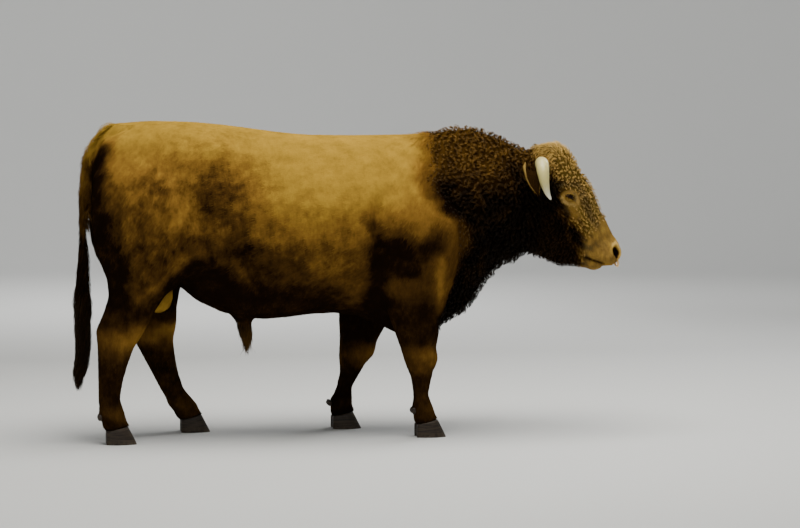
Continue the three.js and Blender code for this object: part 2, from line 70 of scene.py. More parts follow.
def makeStudio():
    camera = bpy.data.objects.new("camera", bpy.data.cameras.new("camera"))
    camera.data.lens = studio["lens"]
    aimedAt(camera, studio["cameraPlace"], studio["cameraAim"])
    bpy.context.scene.camera = camera
    for name, (place, aim, width, watts, colour) in studio["lamps"].items():
        lamp = bpy.data.lights.new(name, "AREA")
        lamp.size = width
        lamp.energy = watts
        lamp.color = colour
        aimedAt(bpy.data.objects.new(name, lamp), place, aim)
    wall = studio["wallLamps"]
    for turn in (0.0, 0.5 * math.pi, math.pi, 1.5 * math.pi):  # these light the backdrop, not the animal
        lamp = bpy.data.lights.new("wall", "AREA")
        lamp.size = wall["width"]
        lamp.energy = wall["watts"]
        way = np.array((math.cos(turn), math.sin(turn), 0.0))
        aimedAt(bpy.data.objects.new("wall", lamp), way * wall["out"] + (0, 0, wall["height"]),
                way * wall["aimOut"] + (0, 0, wall["aimHeight"]))
    world = bpy.data.worlds.new("studio")
    world.use_nodes = True
    sky = world.node_tree.nodes["Background"]
    sky.inputs["Color"].default_value = studio["skyColour"]
    sky.inputs["Strength"].default_value = studio["skyStrength"]
    bpy.context.scene.world = world


makeStudio()
print("studio ready")


# number helpers
def ramp(value, low, high):
    t = np.clip((value - low) / (high - low), 0, 1)
    return t * t * (3 - 2 * t)


def fade(value, low, high):
    return 1 - ramp(value, low, high)


def mixed(a, b, share):
    return a * (1 - share) + b * share


def bell(away, width):  # 1 in the middle, falling off smoothly
    return np.exp(-((away / width) ** 2))


def unit(vectors):
    return vectors / np.maximum(np.linalg.norm(vectors, axis=-1, keepdims=True), 1e-9)


def latticeValue(cell, seed):  # an even mix of whole numbers, the same on every run
    number = cell[:, 0] * 73856093 ^ cell[:, 1] * 19349663 ^ cell[:, 2] * 83492791 ^ seed * 2654435
    number = (number * 1103515245 + 12345) & 0x7FFFFFFF
    number = ((number >> 7) * 69069 + 362437) & 0x7FFFFFFF
    return number / 0x7FFFFFFF * 2 - 1


def drift(points, size, seed):  # smooth values from -1 to 1 that wander over the given size
    scaled = points / size
    cell = np.floor(scaled).astype(np.int64)
    part = scaled - cell
    part = part * part * (3 - 2 * part)
    total = np.zeros(len(points))
    for corner in itertools.product((0, 1), repeat=3):
        share = np.prod(np.where(corner, part, 1 - part), axis=1)
        total += share * latticeValue(cell + np.array(corner), seed)
    return total


def curveAt(rows, shares):  # a smooth curve through rows of numbers, at shares from 0 to 1
    rows = np.asarray(rows, float)
    spread = np.clip(np.asarray(shares, float), 0, 1) * (len(rows) - 1)
    first = np.minimum(spread.astype(int), len(rows) - 2)
    t = (spread - first)[:, None]
    a = rows[np.maximum(first - 1, 0)]
    b = rows[first]
    c = rows[first + 1]
    d = rows[np.minimum(first + 2, len(rows) - 1)]
    return b + 0.5 * t * (c - a + t * (2 * a - 5 * b + 4 * c - d + t * (3 * (b - c) + d - a)))


def lineDistance(points, line):  # distance to a polyline
    best = np.full(len(points), 1e9)
    for start, end in zip(line[:-1], line[1:]):
        start = np.asarray(start, float)
        way = np.asarray(end, float) - start
        share = np.clip((points - start) @ way / (way @ way), 0, 1)
        best = np.minimum(best, np.linalg.norm(points - start - share[:, None] * way, axis=1))
    return best


def sideDistance(points, line):  # distance in the side view to a line given by x and z
    return lineDistance(points * (1, 0, 1), [(x, 0, z) for x, z in line])


def circleTurns(count):
    return np.arange(count) * 2 * np.pi / count


def onOneSide(points):  # both sides of the body fold onto the left one
    return points * (1, 0, 1) + np.abs(points) * (0, 1, 0)


def toOwnSide(way, points):  # a direction on the left side, mirrored for points on the right
    return way * np.stack([np.ones(len(points)), np.sign(points[:, 1]), np.ones(len(points))], 1)


def headPlace(points):  # distance along the line of the face from the poll, and depth below it
    slope = headFrame["slope"]
    away = points - headFrame["poll"]
    along = away[:, 0] * math.cos(slope) - away[:, 2] * math.sin(slope)
    below = -away[:, 0] * math.sin(slope) - away[:, 2] * math.cos(slope)
    return along, below


headFrame = {"poll": np.array((1.066, 0.0, 1.400)), "slope": math.radians(62)}
faceWay = np.array((math.cos(headFrame["slope"]), 0, -math.sin(headFrame["slope"])))
eyeFrame = {
    "centre": np.array((1.038, 0.117, 1.137)),
    "radius": 0.0196,
    "out": np.array((0.24, 0.95, 0.16)),
    "front": np.array((0.93, -0.2, -0.27)),
}


def nostrilReach(points):  # 0 in the middle of a nostril, 1 at its edge, and the share near its plane
    out = unit(nostril["out"])
    up = unit(nostril["up"] - (nostril["up"] @ out) * out)
    across = np.cross(out, up)
    local = onOneSide(points) - nostril["centre"]
    a, b, depth = local @ up, local @ across, np.abs(local @ out)
    bent = b - nostril["bend"] * a * np.abs(a)  # the opening is a comma
    near = fade(depth, 0.03, 0.05)
    return np.sqrt((a / nostril["long"]) ** 2 + (bent / nostril["wide"]) ** 2) + 9 * (near == 0), near


# mesh helpers
def meshFrom(name, points, faces):
    mesh = bpy.data.meshes.new(name)
    mesh.from_pydata(np.asarray(points).tolist(), [], faces)
    mesh.update()
    return mesh


def pieceFrom(name, mesh, material, replaced=()):
    piece = bpy.data.objects.new(name, mesh)
    bpy.context.scene.collection.objects.link(piece)
    mesh.materials.clear()
    mesh.materials.append(material)
    mesh.shade_smooth()
    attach(piece, "root")
    if replaced:
        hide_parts(*replaced)


def valuesOf(items, name):
    found = np.zeros(len(items) * 3, np.float32)
    items.foreach_get(name, found)
    return found.reshape(-1, 3).astype(float)


def indicesOf(items, name, width):
    found = np.zeros(len(items) * width, np.int32)
    items.foreach_get(name, found)
    return found.reshape(-1, width)


def movePoints(mesh, points):
    mesh.vertices.foreach_set("co", points.ravel().astype(np.float32))
    mesh.update()


def setValues(mesh, name, values):
    kind = "FLOAT_VECTOR" if np.ndim(values) == 2 else "FLOAT"
    layer = mesh.attributes.get(name) or mesh.attributes.new(name, kind, "POINT")
    key = "vector" if kind == "FLOAT_VECTOR" else "value"
    layer.data.foreach_set(key, np.asarray(values, np.float32).ravel())


def remeshed(mesh, grain):  # one closed surface over all that overlaps
    carrier = bpy.data.objects.new("carrier", mesh)
    bpy.context.scene.collection.objects.link(carrier)
    modifier = carrier.modifiers.new("remesh", "REMESH")
    modifier.mode = "VOXEL"
    modifier.voxel_size = grain
    graph = bpy.context.evaluated_depsgraph_get()
    made = bpy.data.meshes.new_from_object(carrier.evaluated_get(graph))
    bpy.data.objects.remove(carrier)
    return made


def relax(mesh, rounds, hold=0.0):
    # rounds and hold may be one number or one for each vertex. Held parts keep their thickness.
    points = valuesOf(mesh.vertices, "co")
    a, b = indicesOf(mesh.edges, "vertices", 2).T
    count = np.bincount(a, minlength=len(points)) + np.bincount(b, minlength=len(points))
    rounds = np.broadcast_to(rounds, len(points))
    for done in range(int(np.ceil(rounds.max()))):
        near = [np.bincount(a, points[b, k], len(points)) + np.bincount(b, points[a, k], len(points))
                for k in range(3)]
        middle = np.stack(near, 1) / np.maximum(count, 1)[:, None]
        step = 0.5 if done % 2 == 0 else -0.52 * hold
        points += (middle - points) * (step * (rounds > done))[:, None]
    movePoints(mesh, points)


def refine(mesh, wanted):  # splits every edge between wanted vertices in two
    work = bmesh.new()
    work.from_mesh(mesh)
    work.verts.ensure_lookup_table()
    edges = [e for e in work.edges if wanted[e.verts[0].index] and wanted[e.verts[1].index]]
    bmesh.ops.subdivide_edges(work, edges=edges, cuts=1, use_grid_fill=True)
    work.to_mesh(mesh)
    work.free()
    mesh.update()


def ringFaces(rows, ring):  # joins rows of ring points each into faces
    faces = []
    for i, k in itertools.product(range(rows - 1), range(ring)):
        near, far = i * ring, (i + 1) * ring
        faces.append((near + k, near + (k + 1) % ring, far + (k + 1) % ring, far + k))
    return faces


def tubeFaces(rows, ring):  # the same with both ends closed
    return ringFaces(rows, ring) + [tuple(range(ring - 1, -1, -1)), tuple(range((rows - 1) * ring, rows * ring))]


def facesOn(side, faces):  # the right side is a mirror image, so its faces turn round
    return faces if side == "left" else [face[::-1] for face in faces]


def sweep(rows, steps, ring, sideWay, outline):
    # rows hold x, y, z and sizes. outline(share, sizes, turn) gives the offsets aside and outwards.
    shares = np.linspace(0, 1, steps)
    line = curveAt(rows, shares)
    centres = line[:, :3]
    along = unit(np.gradient(centres, axis=0))
    aside = unit(sideWay - (along @ sideWay)[:, None] * along)
    outward = np.cross(along, aside)
    turn = circleTurns(ring)
    points = []
    for i, share in enumerate(shares):
        a, b = outline(share, line[i, 3:], turn)
        points.append(centres[i] + np.outer(a, aside[i]) + np.outer(b, outward[i]))
    return np.concatenate(points), tubeFaces(steps, ring)


# where the coat changes: one set of zones for skin and coat alike
maneEdge = {  # how far back the curls of neck and hump reach, by height
    "heights": (0.50, 0.62, 0.74, 0.85, 0.95, 1.03, 1.10, 1.18, 1.30, 1.37, 1.45),
    "places": (0.38, 0.405, 0.45, 0.480, 0.490, 0.460, 0.405, 0.358, 0.335, 0.348, 0.365),
}


def legCentres(side, names):  # middle and half widths of a leg, by height
    starts, ends = [], []
    for name in names:
        mesh = nodes[f"{name}_{side}"].data
        points = valuesOf(mesh.vertices, "co")
        first, second = indicesOf(mesh.edges, "vertices", 2).T
        starts.append(points[first])
        ends.append(points[second])
    starts, ends = np.concatenate(starts), np.concatenate(ends)
    heights = np.linspace(starts[:, 2].min() + 0.01, starts[:, 2].max() - 0.01, 30)
    rows = []
    for z in heights:
        crossed = (starts[:, 2] - z) * (ends[:, 2] - z) < 0
        a, b = starts[crossed], ends[crossed]
        cut = a + (b - a) * ((z - a[:, 2]) / (b[:, 2] - a[:, 2]))[:, None]
        low, high = cut.min(0), cut.max(0)
        rows.append(((low[0] + high[0]) / 2, (low[1] + high[1]) / 2, (high[0] - low[0]) / 2,
                     (high[1] - low[1]) / 2))
    return heights, np.array(rows)


legs = {
    (leg, side): legCentres(side, names)
    for side in sides
    for leg, names in (("fore", ("forearm", "foreshank")), ("hind", ("gaskin", "hindshank")))
}


def legPlace(points, leg, side):  # forward and outward place in the leg, from -1 to 1 within it
    heights, rows = legs[leg, side]
    x, y, halfX, halfY = (np.interp(points[:, 2], heights, rows[:, k]) for k in range(4))
    forward = (points[:, 0] - x) / halfX
    outward = (points[:, 1] - y) / halfY * sides[side]
    return forward, outward


# Darker lower down: partly the coat's own colour, partly painted shade where less light reaches the lower body
bodyShade = {  # 0 is gold, 1 almost black, by height on rump, ribs and shoulder
    "heights": (0.60, 0.70, 0.80, 0.90, 1.00, 1.10, 1.20, 1.30, 1.40, 1.47),
    "rump": (0.94, 0.92, 0.86, 0.76, 0.62, 0.52, 0.42, 0.27, 0.12, 0.02),
    "ribs": (0.97, 0.88, 0.72, 0.55, 0.34, 0.15, 0.07, 0.04, 0.0, 0.0),
    "shoulder": (0.92, 0.78, 0.72, 0.66, 0.48, 0.27, 0.14, 0.10, 0.08, 0.06),
    "tail": ((0.80, 0.95, 1.13, 1.31, 1.42), (0.96, 0.86, 0.64, 0.38, 0.24)),
    "tuft": 0.62,
    "scrotum": 0.16,
}
# Partly painted light and shade (darker in the flank hollow and at the back of the thigh, paler on lit folds), partly
# the coat's own darker and paler patches
shadePatches = [  # x, z, half width, half height, amount
    (-0.66, 1.17, 0.14, 0.12, 0.30), (-1.00, 1.20, 0.10, 0.06, 0.16), (-0.76, 0.745, 0.11, 0.078, 0.60),
    (-0.50, 0.70, 0.16, 0.06, 0.12), (-1.02, 0.72, 0.10, 0.08, -0.12), (0.19, 0.90, 0.10, 0.06, 0.12),
    (-0.84, 1.05, 0.12, 0.07, -0.16), (-0.03, 0.72, 0.08, 0.07, -0.22), (0.125, 0.72, 0.04, 0.06, -0.18),
    (0.31, 1.24, 0.05, 0.08, 0.26), (-0.35, 0.90, 0.10, 0.10, 0.12), (0.17, 0.90, 0.14, 0.09, 0.17),
    (0.143, 0.903, 0.060, 0.035, 0.20), (0.223, 0.79, 0.050, 0.035, 0.18), (0.31, 0.93, 0.07, 0.06, 0.20),
    (0.37, 0.97, 0.05, 0.07, 0.20), (-0.71, 1.20, 0.06, 0.05, 0.12), (-0.92, 1.18, 0.05, 0.04, 0.22),
    (-1.02, 1.08, 0.07, 0.05, 0.12), (-1.16, 0.71, 0.05, 0.06, 0.16), (-0.54, 0.90, 0.07, 0.05, 0.28),
    (-0.17, 0.81, 0.08, 0.05, -0.24), (0.24, 0.95, 0.05, 0.04, -0.22), (-0.80, 0.85, 0.08, 0.035, -0.16),
    (0.14, 0.975, 0.06, 0.06, 0.15), (0.17, 0.85, 0.08, 0.06, 0.14), (-1.22, 0.95, 0.05, 0.11, 0.16),
    (-0.82, 1.13, 0.05, 0.04, -0.12), (-0.21, 0.99, 0.06, 0.05, -0.14), (-1.04, 0.83, 0.07, 0.05, -0.14),
    (0.304, 1.365, 0.06, 0.045, -0.24), (0.40, 0.71, 0.05, 0.05, -0.14), (-0.58, 1.03, 0.06, 0.05, 0.12),
]
# Paler patches; the last is a painted highlight on the lit folds in front of the shoulder
neckPatches = [
    (0.31, 1.36, 0.06, 0.07, -0.16), (0.87, 1.38, 0.07, 0.06, -0.30), (0.48, 0.94, 0.05, 0.13, -0.45),
]
dapplePatches = [(-0.72, 1.18, 0.26, 0.19, 1.0), (-1.02, 1.0, 0.26, 0.26, 0.85), (-0.2, 0.92, 0.42, 0.2, 0.6)]
# Painted shade in the crease behind the elbow, and painted highlights on the lit fold before the arm and along the
# flank folds
shadeLines = [  # line by x and z, half width, amount
    ([(0.045, 1.02), (0.07, 0.86), (0.085, 0.66)], 0.048, 0.38),
    ([(0.365, 0.86), (0.37, 0.60)], 0.028, -0.30),
    ([(-0.60, 0.84), (-0.50, 0.70)], 0.018, -0.15),
    ([(-0.845, 0.85), (-0.970, 0.735), (-1.035, 0.68)], 0.028, -0.26),
]
# Painted shadow in the hollow between tail and thigh
besideTail = {  # the dark hollow between tail and thigh
    "line": [(-1.105, 1.438), (-1.160, 1.408), (-1.205, 1.365), (-1.240, 1.300), (-1.262, 1.150), (-1.262, 1.0),
             (-1.220, 0.80)],
    "widths": ((1.20, 1.34, 1.40, 1.44), (0.080, 0.042, 0.015, 0.009)),  # by height
}
# The darker inner side is painted shade
legShade = {  # height of the paler joint, how much paler, and how much darker the inner side
    "fore": (0.37, 0.40, 0.12),
    "hind": (0.485, 0.60, 0.0),
}
# Painted shade in the folds of the nose, at the corner of the mouth and behind the nostril, and darker hair beside the
# eye and on the cheek and chin
faceShades = [  # line by x and z on the head, half width, amount
    ([(1.010, 1.010), (1.050, 0.985), (1.085, 0.955)], 0.030, 0.26),
    ([(1.106, 1.176), (1.128, 1.105), (1.160, 1.040), (1.198, 1.002)], 0.022, 0.70),
    ([(1.086, 1.036), (1.134, 0.978), (1.163, 0.945)], 0.008, 0.55),
    ([(1.057, 0.983), (1.105, 0.945), (1.140, 0.925)], 0.010, 0.50),
    ([(1.080, 0.940), (1.124, 0.897), (1.156, 0.890)], 0.014, 0.62),
    ([(1.125, 0.806), (1.160, 0.792), (1.200, 0.800)], 0.016, 0.34),
    ([(1.180, 0.925), (1.200, 0.905)], 0.009, 0.30),
    ([(1.130, 0.850), (1.150, 0.838), (1.190, 0.824)], 0.009, 0.55),
    ([(1.120, 0.815), (1.150, 0.795)], 0.010, 0.22),
    ([(1.215, 0.930), (1.232, 0.900), (1.225, 0.860)], 0.010, 0.32),
    ([(0.94, 1.20), (0.93, 1.10)], 0.03, 0.25),
]
# upper, lower, front and under are the pale tan marks round the eye, the upper lid's partly a painted highlight;
# hollow, behind, brow, corner and pouch are painted shade above, behind and below the eye and in the lid creases,
# partly over darker hair
eyeMarks = {  # lines from the eye's middle, by x and z, and their half widths
    "upper": ([(-0.030, 0.012), (-0.018, 0.024), (0.0, 0.030), (0.014, 0.024)], 0.010),
    "lower": ([(-0.043, 0.002), (-0.030, -0.016), (-0.008, -0.028), (0.014, -0.034), (0.030, -0.040)], 0.0055),
    "front": ([(0.038, 0.012), (0.044, -0.008), (0.046, -0.028)], 0.013),
    "under": ([(0.002, -0.052), (0.024, -0.070), (0.038, -0.086)], 0.022),
    "corner": ([(0.025, 0.018), (0.030, 0.0), (0.029, -0.014)], 0.0050),
    "hollow": ([(-0.075, 0.055), (-0.020, 0.068), (0.050, 0.066)], 0.024),
    "brow": ([(-0.050, 0.020), (-0.024, 0.036), (0.018, 0.034)], 0.0045),
    "behind": ([(-0.066, 0.030), (-0.068, -0.020)], 0.018),
    "pouch": ([(-0.054, -0.030), (-0.026, -0.050), (-0.012, -0.084)], 0.013),
}


def withPatches(values, x, z, patches):  # adds soft round patches in the side view
    for px, pz, wide, high, amount in patches:
        values = values + amount * np.exp(-((x - px) / wide) ** 2 - ((z - pz) / high) ** 2)
    return values


def withLines(values, points, blur, lines, share=1.0):  # adds soft lines in the side view
    for line, wide, amount in lines:
        values = values + amount * bell(sideDistance(points, line) + 0.4 * blur, wide) * share
    return values


def shadeOfBody(points, blur, tail):  # trunk, legs and tail, from the back down
    x, y, z = points.T
    aside = np.abs(y)
    # darker from the back down: coat colour mixed with painted shade
    rump, ribs, shoulder = (np.interp(z + 0.6 * blur, bodyShade["heights"], bodyShade[part])
                            for part in ("rump", "ribs", "shoulder"))
    front = ramp(x, 0.0, 0.25)
    rear = fade(x, -0.68, -0.34)
    shade = ribs * (1 - front) * (1 - rear) + shoulder * front + rump * rear
    shade = withPatches(shade, x + blur, z + blur, shadePatches)
    shade = withLines(shade, points, blur, shadeLines)
    # painted shadow beside the tail
    hollow = bell(sideDistance(points, besideTail["line"]) + 0.6 * blur, np.interp(z, *besideTail["widths"]))
    hollow = hollow * (0.78 + 0.30 * drift(points, 0.045, 17)) * ramp(aside, 0.035, 0.070)
    shade = shade + hollow * (1 - 0.75 * ramp(z, 1.375, 1.41))
    for (leg, side), (heights, _) in legs.items():
        joint, glow, inward = legShade[leg]
        forward, outward = legPlace(points, leg, side)
        inside = (np.sign(y) == sides[side]) & (np.abs(forward) < 1.6) & (z < heights[-1] + 0.05)
        lighter = glow * bell(z + blur - joint, 0.060) + 0.16 * bell(z - 0.13, 0.04)
        # paler towards the front edge as a painted highlight, darker on the inner side as painted shade
        dusk = 0.91 - lighter * (0.7 + 0.4 * np.clip(forward, -0.8, 1)) + inward * ramp(-outward, 0.1, 0.7)
        share = inside * fade(z + blur, 0.48, 0.72)
        shade = mixed(shade, dusk, share)
    scrotum = fade(np.abs(x + 0.925), 0.072, 0.095) * fade(aside, 0.065, 0.085) * fade(z, 0.68, 0.72)
    # Painted shade under the belly and in the cleft between the thighs
    inner = fade(aside, 0.08, 0.20) * fade(z, 0.66, 0.86) * (x < 0.4)
    cleft = fade(x + blur, -1.25, -1.17) * fade(aside + blur, 0.07, 0.15) * fade(z + blur, 1.28, 1.38)
    tuft = fade(np.abs(x + 0.53), 0.05, 0.07) * fade(z, 0.51, 0.56) * (aside < 0.06)
    shade = np.maximum(shade, np.maximum(0.9 * inner, 0.86 * cleft * (1 - tail)))
    shade = mixed(shade, np.interp(z + blur, *bodyShade["tail"]), tail)
    shade = mixed(shade, bodyShade["tuft"], tuft)
    return mixed(shade, bodyShade["scrotum"], scrotum)


def shadeOfNeck(points, blur):  # lighter on the crest, almost black on the side
    x, _, z = points.T
    # darker lower down the neck: the mane's own dark colour deepened by painted shade
    shade = 0.38 + 0.60 * fade(z + 1.2 * blur + 0.22 * (0.6 - x), 1.06, 1.36) + 0.2 * drift(points, 0.04, 9)
    shade = shade - 0.25 * ramp(z, 1.42, 1.50) * (x < 0.75)
    shade = shade + 0.24 * bell(x - 0.41, 0.07) * fade(z, 1.26, 1.38)
    return withPatches(shade, x, z, neckPatches)


def shadeOfFace(points, blur, muzzle, smooth, eyeLines, mouthAway):
    x, y, z = points.T
    along, below = headPlace(points)
    # Painted shade down the lower side of the face and under the jaw, over the face's darker hair
    low = ramp(below + blur + 0.5 * np.clip(0.16 - along, 0, 0.1), 0.13, 0.26) * (1 - 0.85 * ramp(z, 1.315, 1.350))
    jaw = ramp(below + 0.5 * blur, 0.205, 0.245) * (1 - muzzle)
    shade = 0.02 + 0.88 * np.maximum(low * fade(along + blur, 0.44, 0.56), jaw) + 0.24 * muzzle
    shade = withLines(shade, points, blur, faceShades, ramp(np.abs(y), 0.02, 0.06))
    # painted shade above, behind and below the eye and in the lid creases
    shade = shade + 0.75 * eyeLines["hollow"] + 0.35 * eyeLines["behind"]
    calm = np.maximum.reduce([eyeLines[name] for name in ("under", "front", "upper", "lower")])
    shade = shade * (1 - 0.85 * calm) + 0.26 * calm
    shade = shade + 0.55 * eyeLines["corner"] + 0.45 * eyeLines["brow"] + 0.55 * eyeLines["pouch"]
    shade = shade + 0.16 * (drift(points, 0.014, 12) + 0.4) * (1 - muzzle) * smooth
    # painted shade in the slit of the mouth
    return np.maximum(shade, 0.92 * fade(mouthAway, 0.0015, 0.006) * (along > 0.45) * (x < 1.225))


def zonesOf(points):
    x, y, z = points.T
    aside = np.abs(y)
    along, below = headPlace(points)
    folded = onOneSide(points)
    blur = drift(points, 0.08, 3) * 0.03 + drift(points, 0.025, 4) * 0.012
    head = ramp(x + 0.3 * blur, 0.865, 0.915)
    edge = np.interp(z, maneEdge["heights"], maneEdge["places"])
    high = ramp(z, 0.95, 1.15)
    mane = ramp(x + 0.9 * blur - edge, -0.03, 0.04)
    maneSoft = ramp(x + 1.2 * blur - edge, -0.10 * high - 0.03, 0.05 - 0.03 * high)
    tail = fade(x, -1.285, -1.25) * fade(aside, 0.05, 0.07)
    eyeAway = np.linalg.norm((folded - eyeFrame["centre"]) * (0.9, 0.5, 1.0), axis=1)
    eyeLines = {}
    for name, (line, wide) in eyeMarks.items():
        spots = [(eyeFrame["centre"][0] + dx, eyeFrame["centre"][2] + dz) for dx, dz in line]
        eyeLines[name] = bell(sideDistance(points, spots) + 0.25 * blur, wide) * head * (aside > 0.06)
    muzzle = along + 0.6 * blur - 0.35 * (below - 0.06) - 1.6 * np.clip(below - 0.18, 0, 0.3)
    muzzle = head * ramp(muzzle, 0.385, 0.445)
    bare = head * fade(eyeAway + blur * 0.6, 0.028, 0.048)
    bare = np.maximum(bare, np.clip(1.2 * eyeLines["front"] + 0.9 * eyeLines["under"], 0, 1))
    smooth = np.maximum(muzzle, bare)
    poll = head * fade(along, 0.14, 0.30) * fade(below, 0.12, 0.24)
    pad = head * ramp(x + 0.25 * (z - 0.86), 1.268, 1.284) * ramp(z, 0.800, 0.812) * fade(along, 0.64, 0.66)
    pad = pad * fade(aside, 0.070, 0.082) * ramp(along, 0.515, 0.535)
    hole = nostrilReach(points)[0]
    mouthAway = sideDistance(points, mouth["line"])
    # darkness of body, neck and head, joined softly: coat colour mixed with painted shade, and painted shade making the
    # nostrils almost black
    shade = shadeOfBody(points, blur, tail)
    shade = mixed(shade, shadeOfNeck(points, blur), maneSoft)
    shade = mixed(shade, shadeOfFace(points, blur, muzzle, smooth, eyeLines, mouthAway), head)
    shade = np.maximum(shade, 1.2 * fade(hole, 0.85, 1.12))
    # tan rings round the eyes, the line of the face, and the edges of mouth and nostrils
    pale = head * np.maximum.reduce([
        0.40 * eyeLines["upper"], 0.78 * eyeLines["lower"], 0.46 * eyeLines["front"], 0.12 * eyeLines["under"],
        0.42 * fade(below, 0.08, 0.20) * (1 - 0.4 * muzzle), 0.22 * muzzle, 0.55 * pad,
        0.14 * ramp(along + blur, 0.50, 0.58) * ramp(0.838 - z + 0.2 * (x - 1.2), 0.0, 0.03),
    ])
    pale = pale * ramp(hole, 1.0, 1.2) * ramp(mouthAway, 0.004, 0.010)
    rim = fade(np.abs(hole - 1.45), 0.22, 0.50) * ramp(x, 1.288, 1.304)
    pale = np.maximum(pale, 0.90 * rim)
    dapple = np.clip(withPatches(0.0, x, z, dapplePatches) + 0.34, 0, 1) * (1 - 0.5 * maneSoft) * (1 - head)
    return {
        "head": head, "muzzle": muzzle, "smooth": smooth, "poll": poll, "mane": mane, "tail": tail,
        "curl": np.clip(np.where(head > 0.5, 1 - smooth, mane), 0, 1),
        "along": along, "below": below, "eyeAway": eyeAway, "bareSkin": pad,
        "dark": np.clip(shade, 0, 1), "pale": np.clip(pale, 0, 1),
        "dapple": dapple + 1.7 * head * muzzle,
        "maneTone": np.clip(maneSoft * (1 - head), 0, 1) * (1 - tail),
    }


zoneNames = ("maneTone", "dark", "pale", "dapple")  # what the hide's colour reads


def lieOf(points, normals, seed, waver):  # the way the hair lies on the skin
    x, y, z = points.T
    zone = zonesOf(points)
    side = np.sign(y)
    one = np.ones(len(points))
    trunk = np.stack([-one, 0 * one, -0.30 - 0.55 * fade(z, 0.70, 1.05)], 1)
    thigh = np.array((-0.55, 0, -0.85))
    down = np.array((-0.12, 0, -1))
    neck = np.stack([-0.55 * one, 0.35 * side * ramp(z, 1.25, 1.45), -0.75 * one], 1)
    shoulder = ramp(x, -0.05, 0.22) * fade(x, 0.45, 0.60)
    way = mixed(trunk, thigh, fade(x, -0.95, -0.62)[:, None])
    way = mixed(way, down, shoulder[:, None] * 0.6)
    way = mixed(way, neck, zone["mane"][:, None])
    way = mixed(way, down, fade(z, 0.60, 0.84)[:, None])
    # from the whorl on the forehead the hair runs up to the poll and down to the muzzle
    turn = (ramp(zone["along"], 0.10, 0.22) * 2 - 1)[:, None]
    top = fade(zone["below"], 0.05, 0.16)[:, None]
    cheek = np.array((-0.25, 0, -0.9))
    face = faceWay * turn * (0.4 + 0.6 * np.abs(turn)) + np.stack([0 * one, 0.35 * side, 0 * one], 1)
    way = mixed(way, face * top + (0.6 * cheek + 0.4 * faceWay) * (1 - top), zone["head"][:, None])
    tail = zone["tail"] * ramp(z, 0.6, 1.0)
    way = mixed(way, np.stack([-0.35 * ramp(z, 1.2, 1.4), 0 * one, -one], 1), tail[:, None])
    way = unit(way - (way * normals).sum(1)[:, None] * normals)
    angle = waver * (drift(points, 0.11, seed) * 1.6 + drift(points, 0.03, seed + 1))
    across = np.cross(normals, way)
    return unit(way * np.cos(angle)[:, None] + across * np.sin(angle)[:, None])


# the skin
skinShape = {
    "grain": 0.0124,  # size of the first faces
    "relaxed": 22,
    "relaxedTrunk": 120,
    "headFrom": 0.93,  # the faces are finer from here on forwards
    "relaxedHead": 6.0,
    "relaxedFace": 4.0,
    "fineRounds": ((0.055, 0.085), (0.0, 0.045)),  # reach of still finer faces round eyes and nostrils
    "fineMouth": 0.022,
    "depthShort": 0.0035,  # how far the skin lies inside the outline, under each kind of hair
    "depthMane": 0.016,
    "depthPoll": 0.013,
    "depthFace": 0.003,
    "depthCurl": 0.004,  # added under curls on the head
    "depthTail": ((0.66, 0.72, 0.80, 0.95, 1.10), (0.002, 0.001, 0.001, 0.003, 0.004)),  # by height
    "depthMuzzle": 0.0008,
    "plugHorn": 0.126,  # how far out the roots of horns and ears are part of it
    "plugEar": 0.118,
}
pairNames = ("forearm", "foreshank", "gaskin", "hindshank", "ear")
fleshNodes = ["shoulders", "barrel", "rump", "neck", "head", "jaw", "tail_root", "tail_middle", "sheath",
              "scrotum"] + [f"{name}_{side}" for name in pairNames for side in sides]


def joinedFlesh():
    work = bmesh.new()
    for name in fleshNodes:
        if not name.startswith("ear"):
            work.from_mesh(nodes[name].data)
    for side in sides:
        work.from_mesh(nodes[f"eye_{side}"].data)
        for name, reach in (("horn", skinShape["plugHorn"]), ("ear", skinShape["plugEar"])):
            plug = bmesh.new()
            plug.from_mesh(nodes[f"{name}_{side}"].data)
            bmesh.ops.bisect_plane(
                plug, geom=plug.verts[:] + plug.edges[:] + plug.faces[:], clear_outer=True,
                plane_co=(0, sides[side] * reach, 0), plane_no=(0, sides[side], 0))
            bmesh.ops.holes_fill(plug, edges=plug.edges[:], sides=0)
            kept = bpy.data.meshes.new("plug")
            plug.to_mesh(kept)
            plug.free()
            work.from_mesh(kept)
    mesh = bpy.data.meshes.new("flesh")
    work.to_mesh(mesh)
    work.free()
    return mesh


muscles = [  # centre on the left side, radii, height
    ((0.47, 0.28, 0.94), (0.09, 0.12, 0.11), 0.012),  # point of the shoulder
    ((0.20, 0.36, 0.98), (0.12, 0.14, 0.13), 0.015),  # triceps
    ((0.40, 0.30, 0.76), (0.05, 0.10, 0.13), 0.012),  # front of the forearm
    ((-0.66, 0.27, 1.38), (0.08, 0.09, 0.07), 0.013),  # hook bone
    ((-1.15, 0.15, 1.37), (0.06, 0.07, 0.06), 0.010),  # pin bone
    ((-1.03, 0.33, 1.06), (0.15, 0.14, 0.20), 0.010),  # thigh
    ((-0.76, 0.30, 0.85), (0.07, 0.10, 0.09), 0.014),  # stifle
    ((-0.60, 0.30, 1.24), (0.12, 0.14, 0.09), -0.012),  # hollow of the flank
    ((-0.30, 0.37, 0.92), (0.30, 0.15, 0.16), 0.008),  # barrel
    ((0.60, 0.22, 1.20), (0.16, 0.12, 0.16), 0.010),  # side of the neck
    ((0.52, 0.0, 0.72), (0.09, 0.06, 0.10), 0.010),  # brisket
    ((-1.235, 0.075, 1.28), (0.05, 0.05, 0.09), 0.008),  # beside the tail
    ((-1.145, 0.0, 1.47), (0.060, 0.06, 0.06), 0.012),  # root of the tail
]
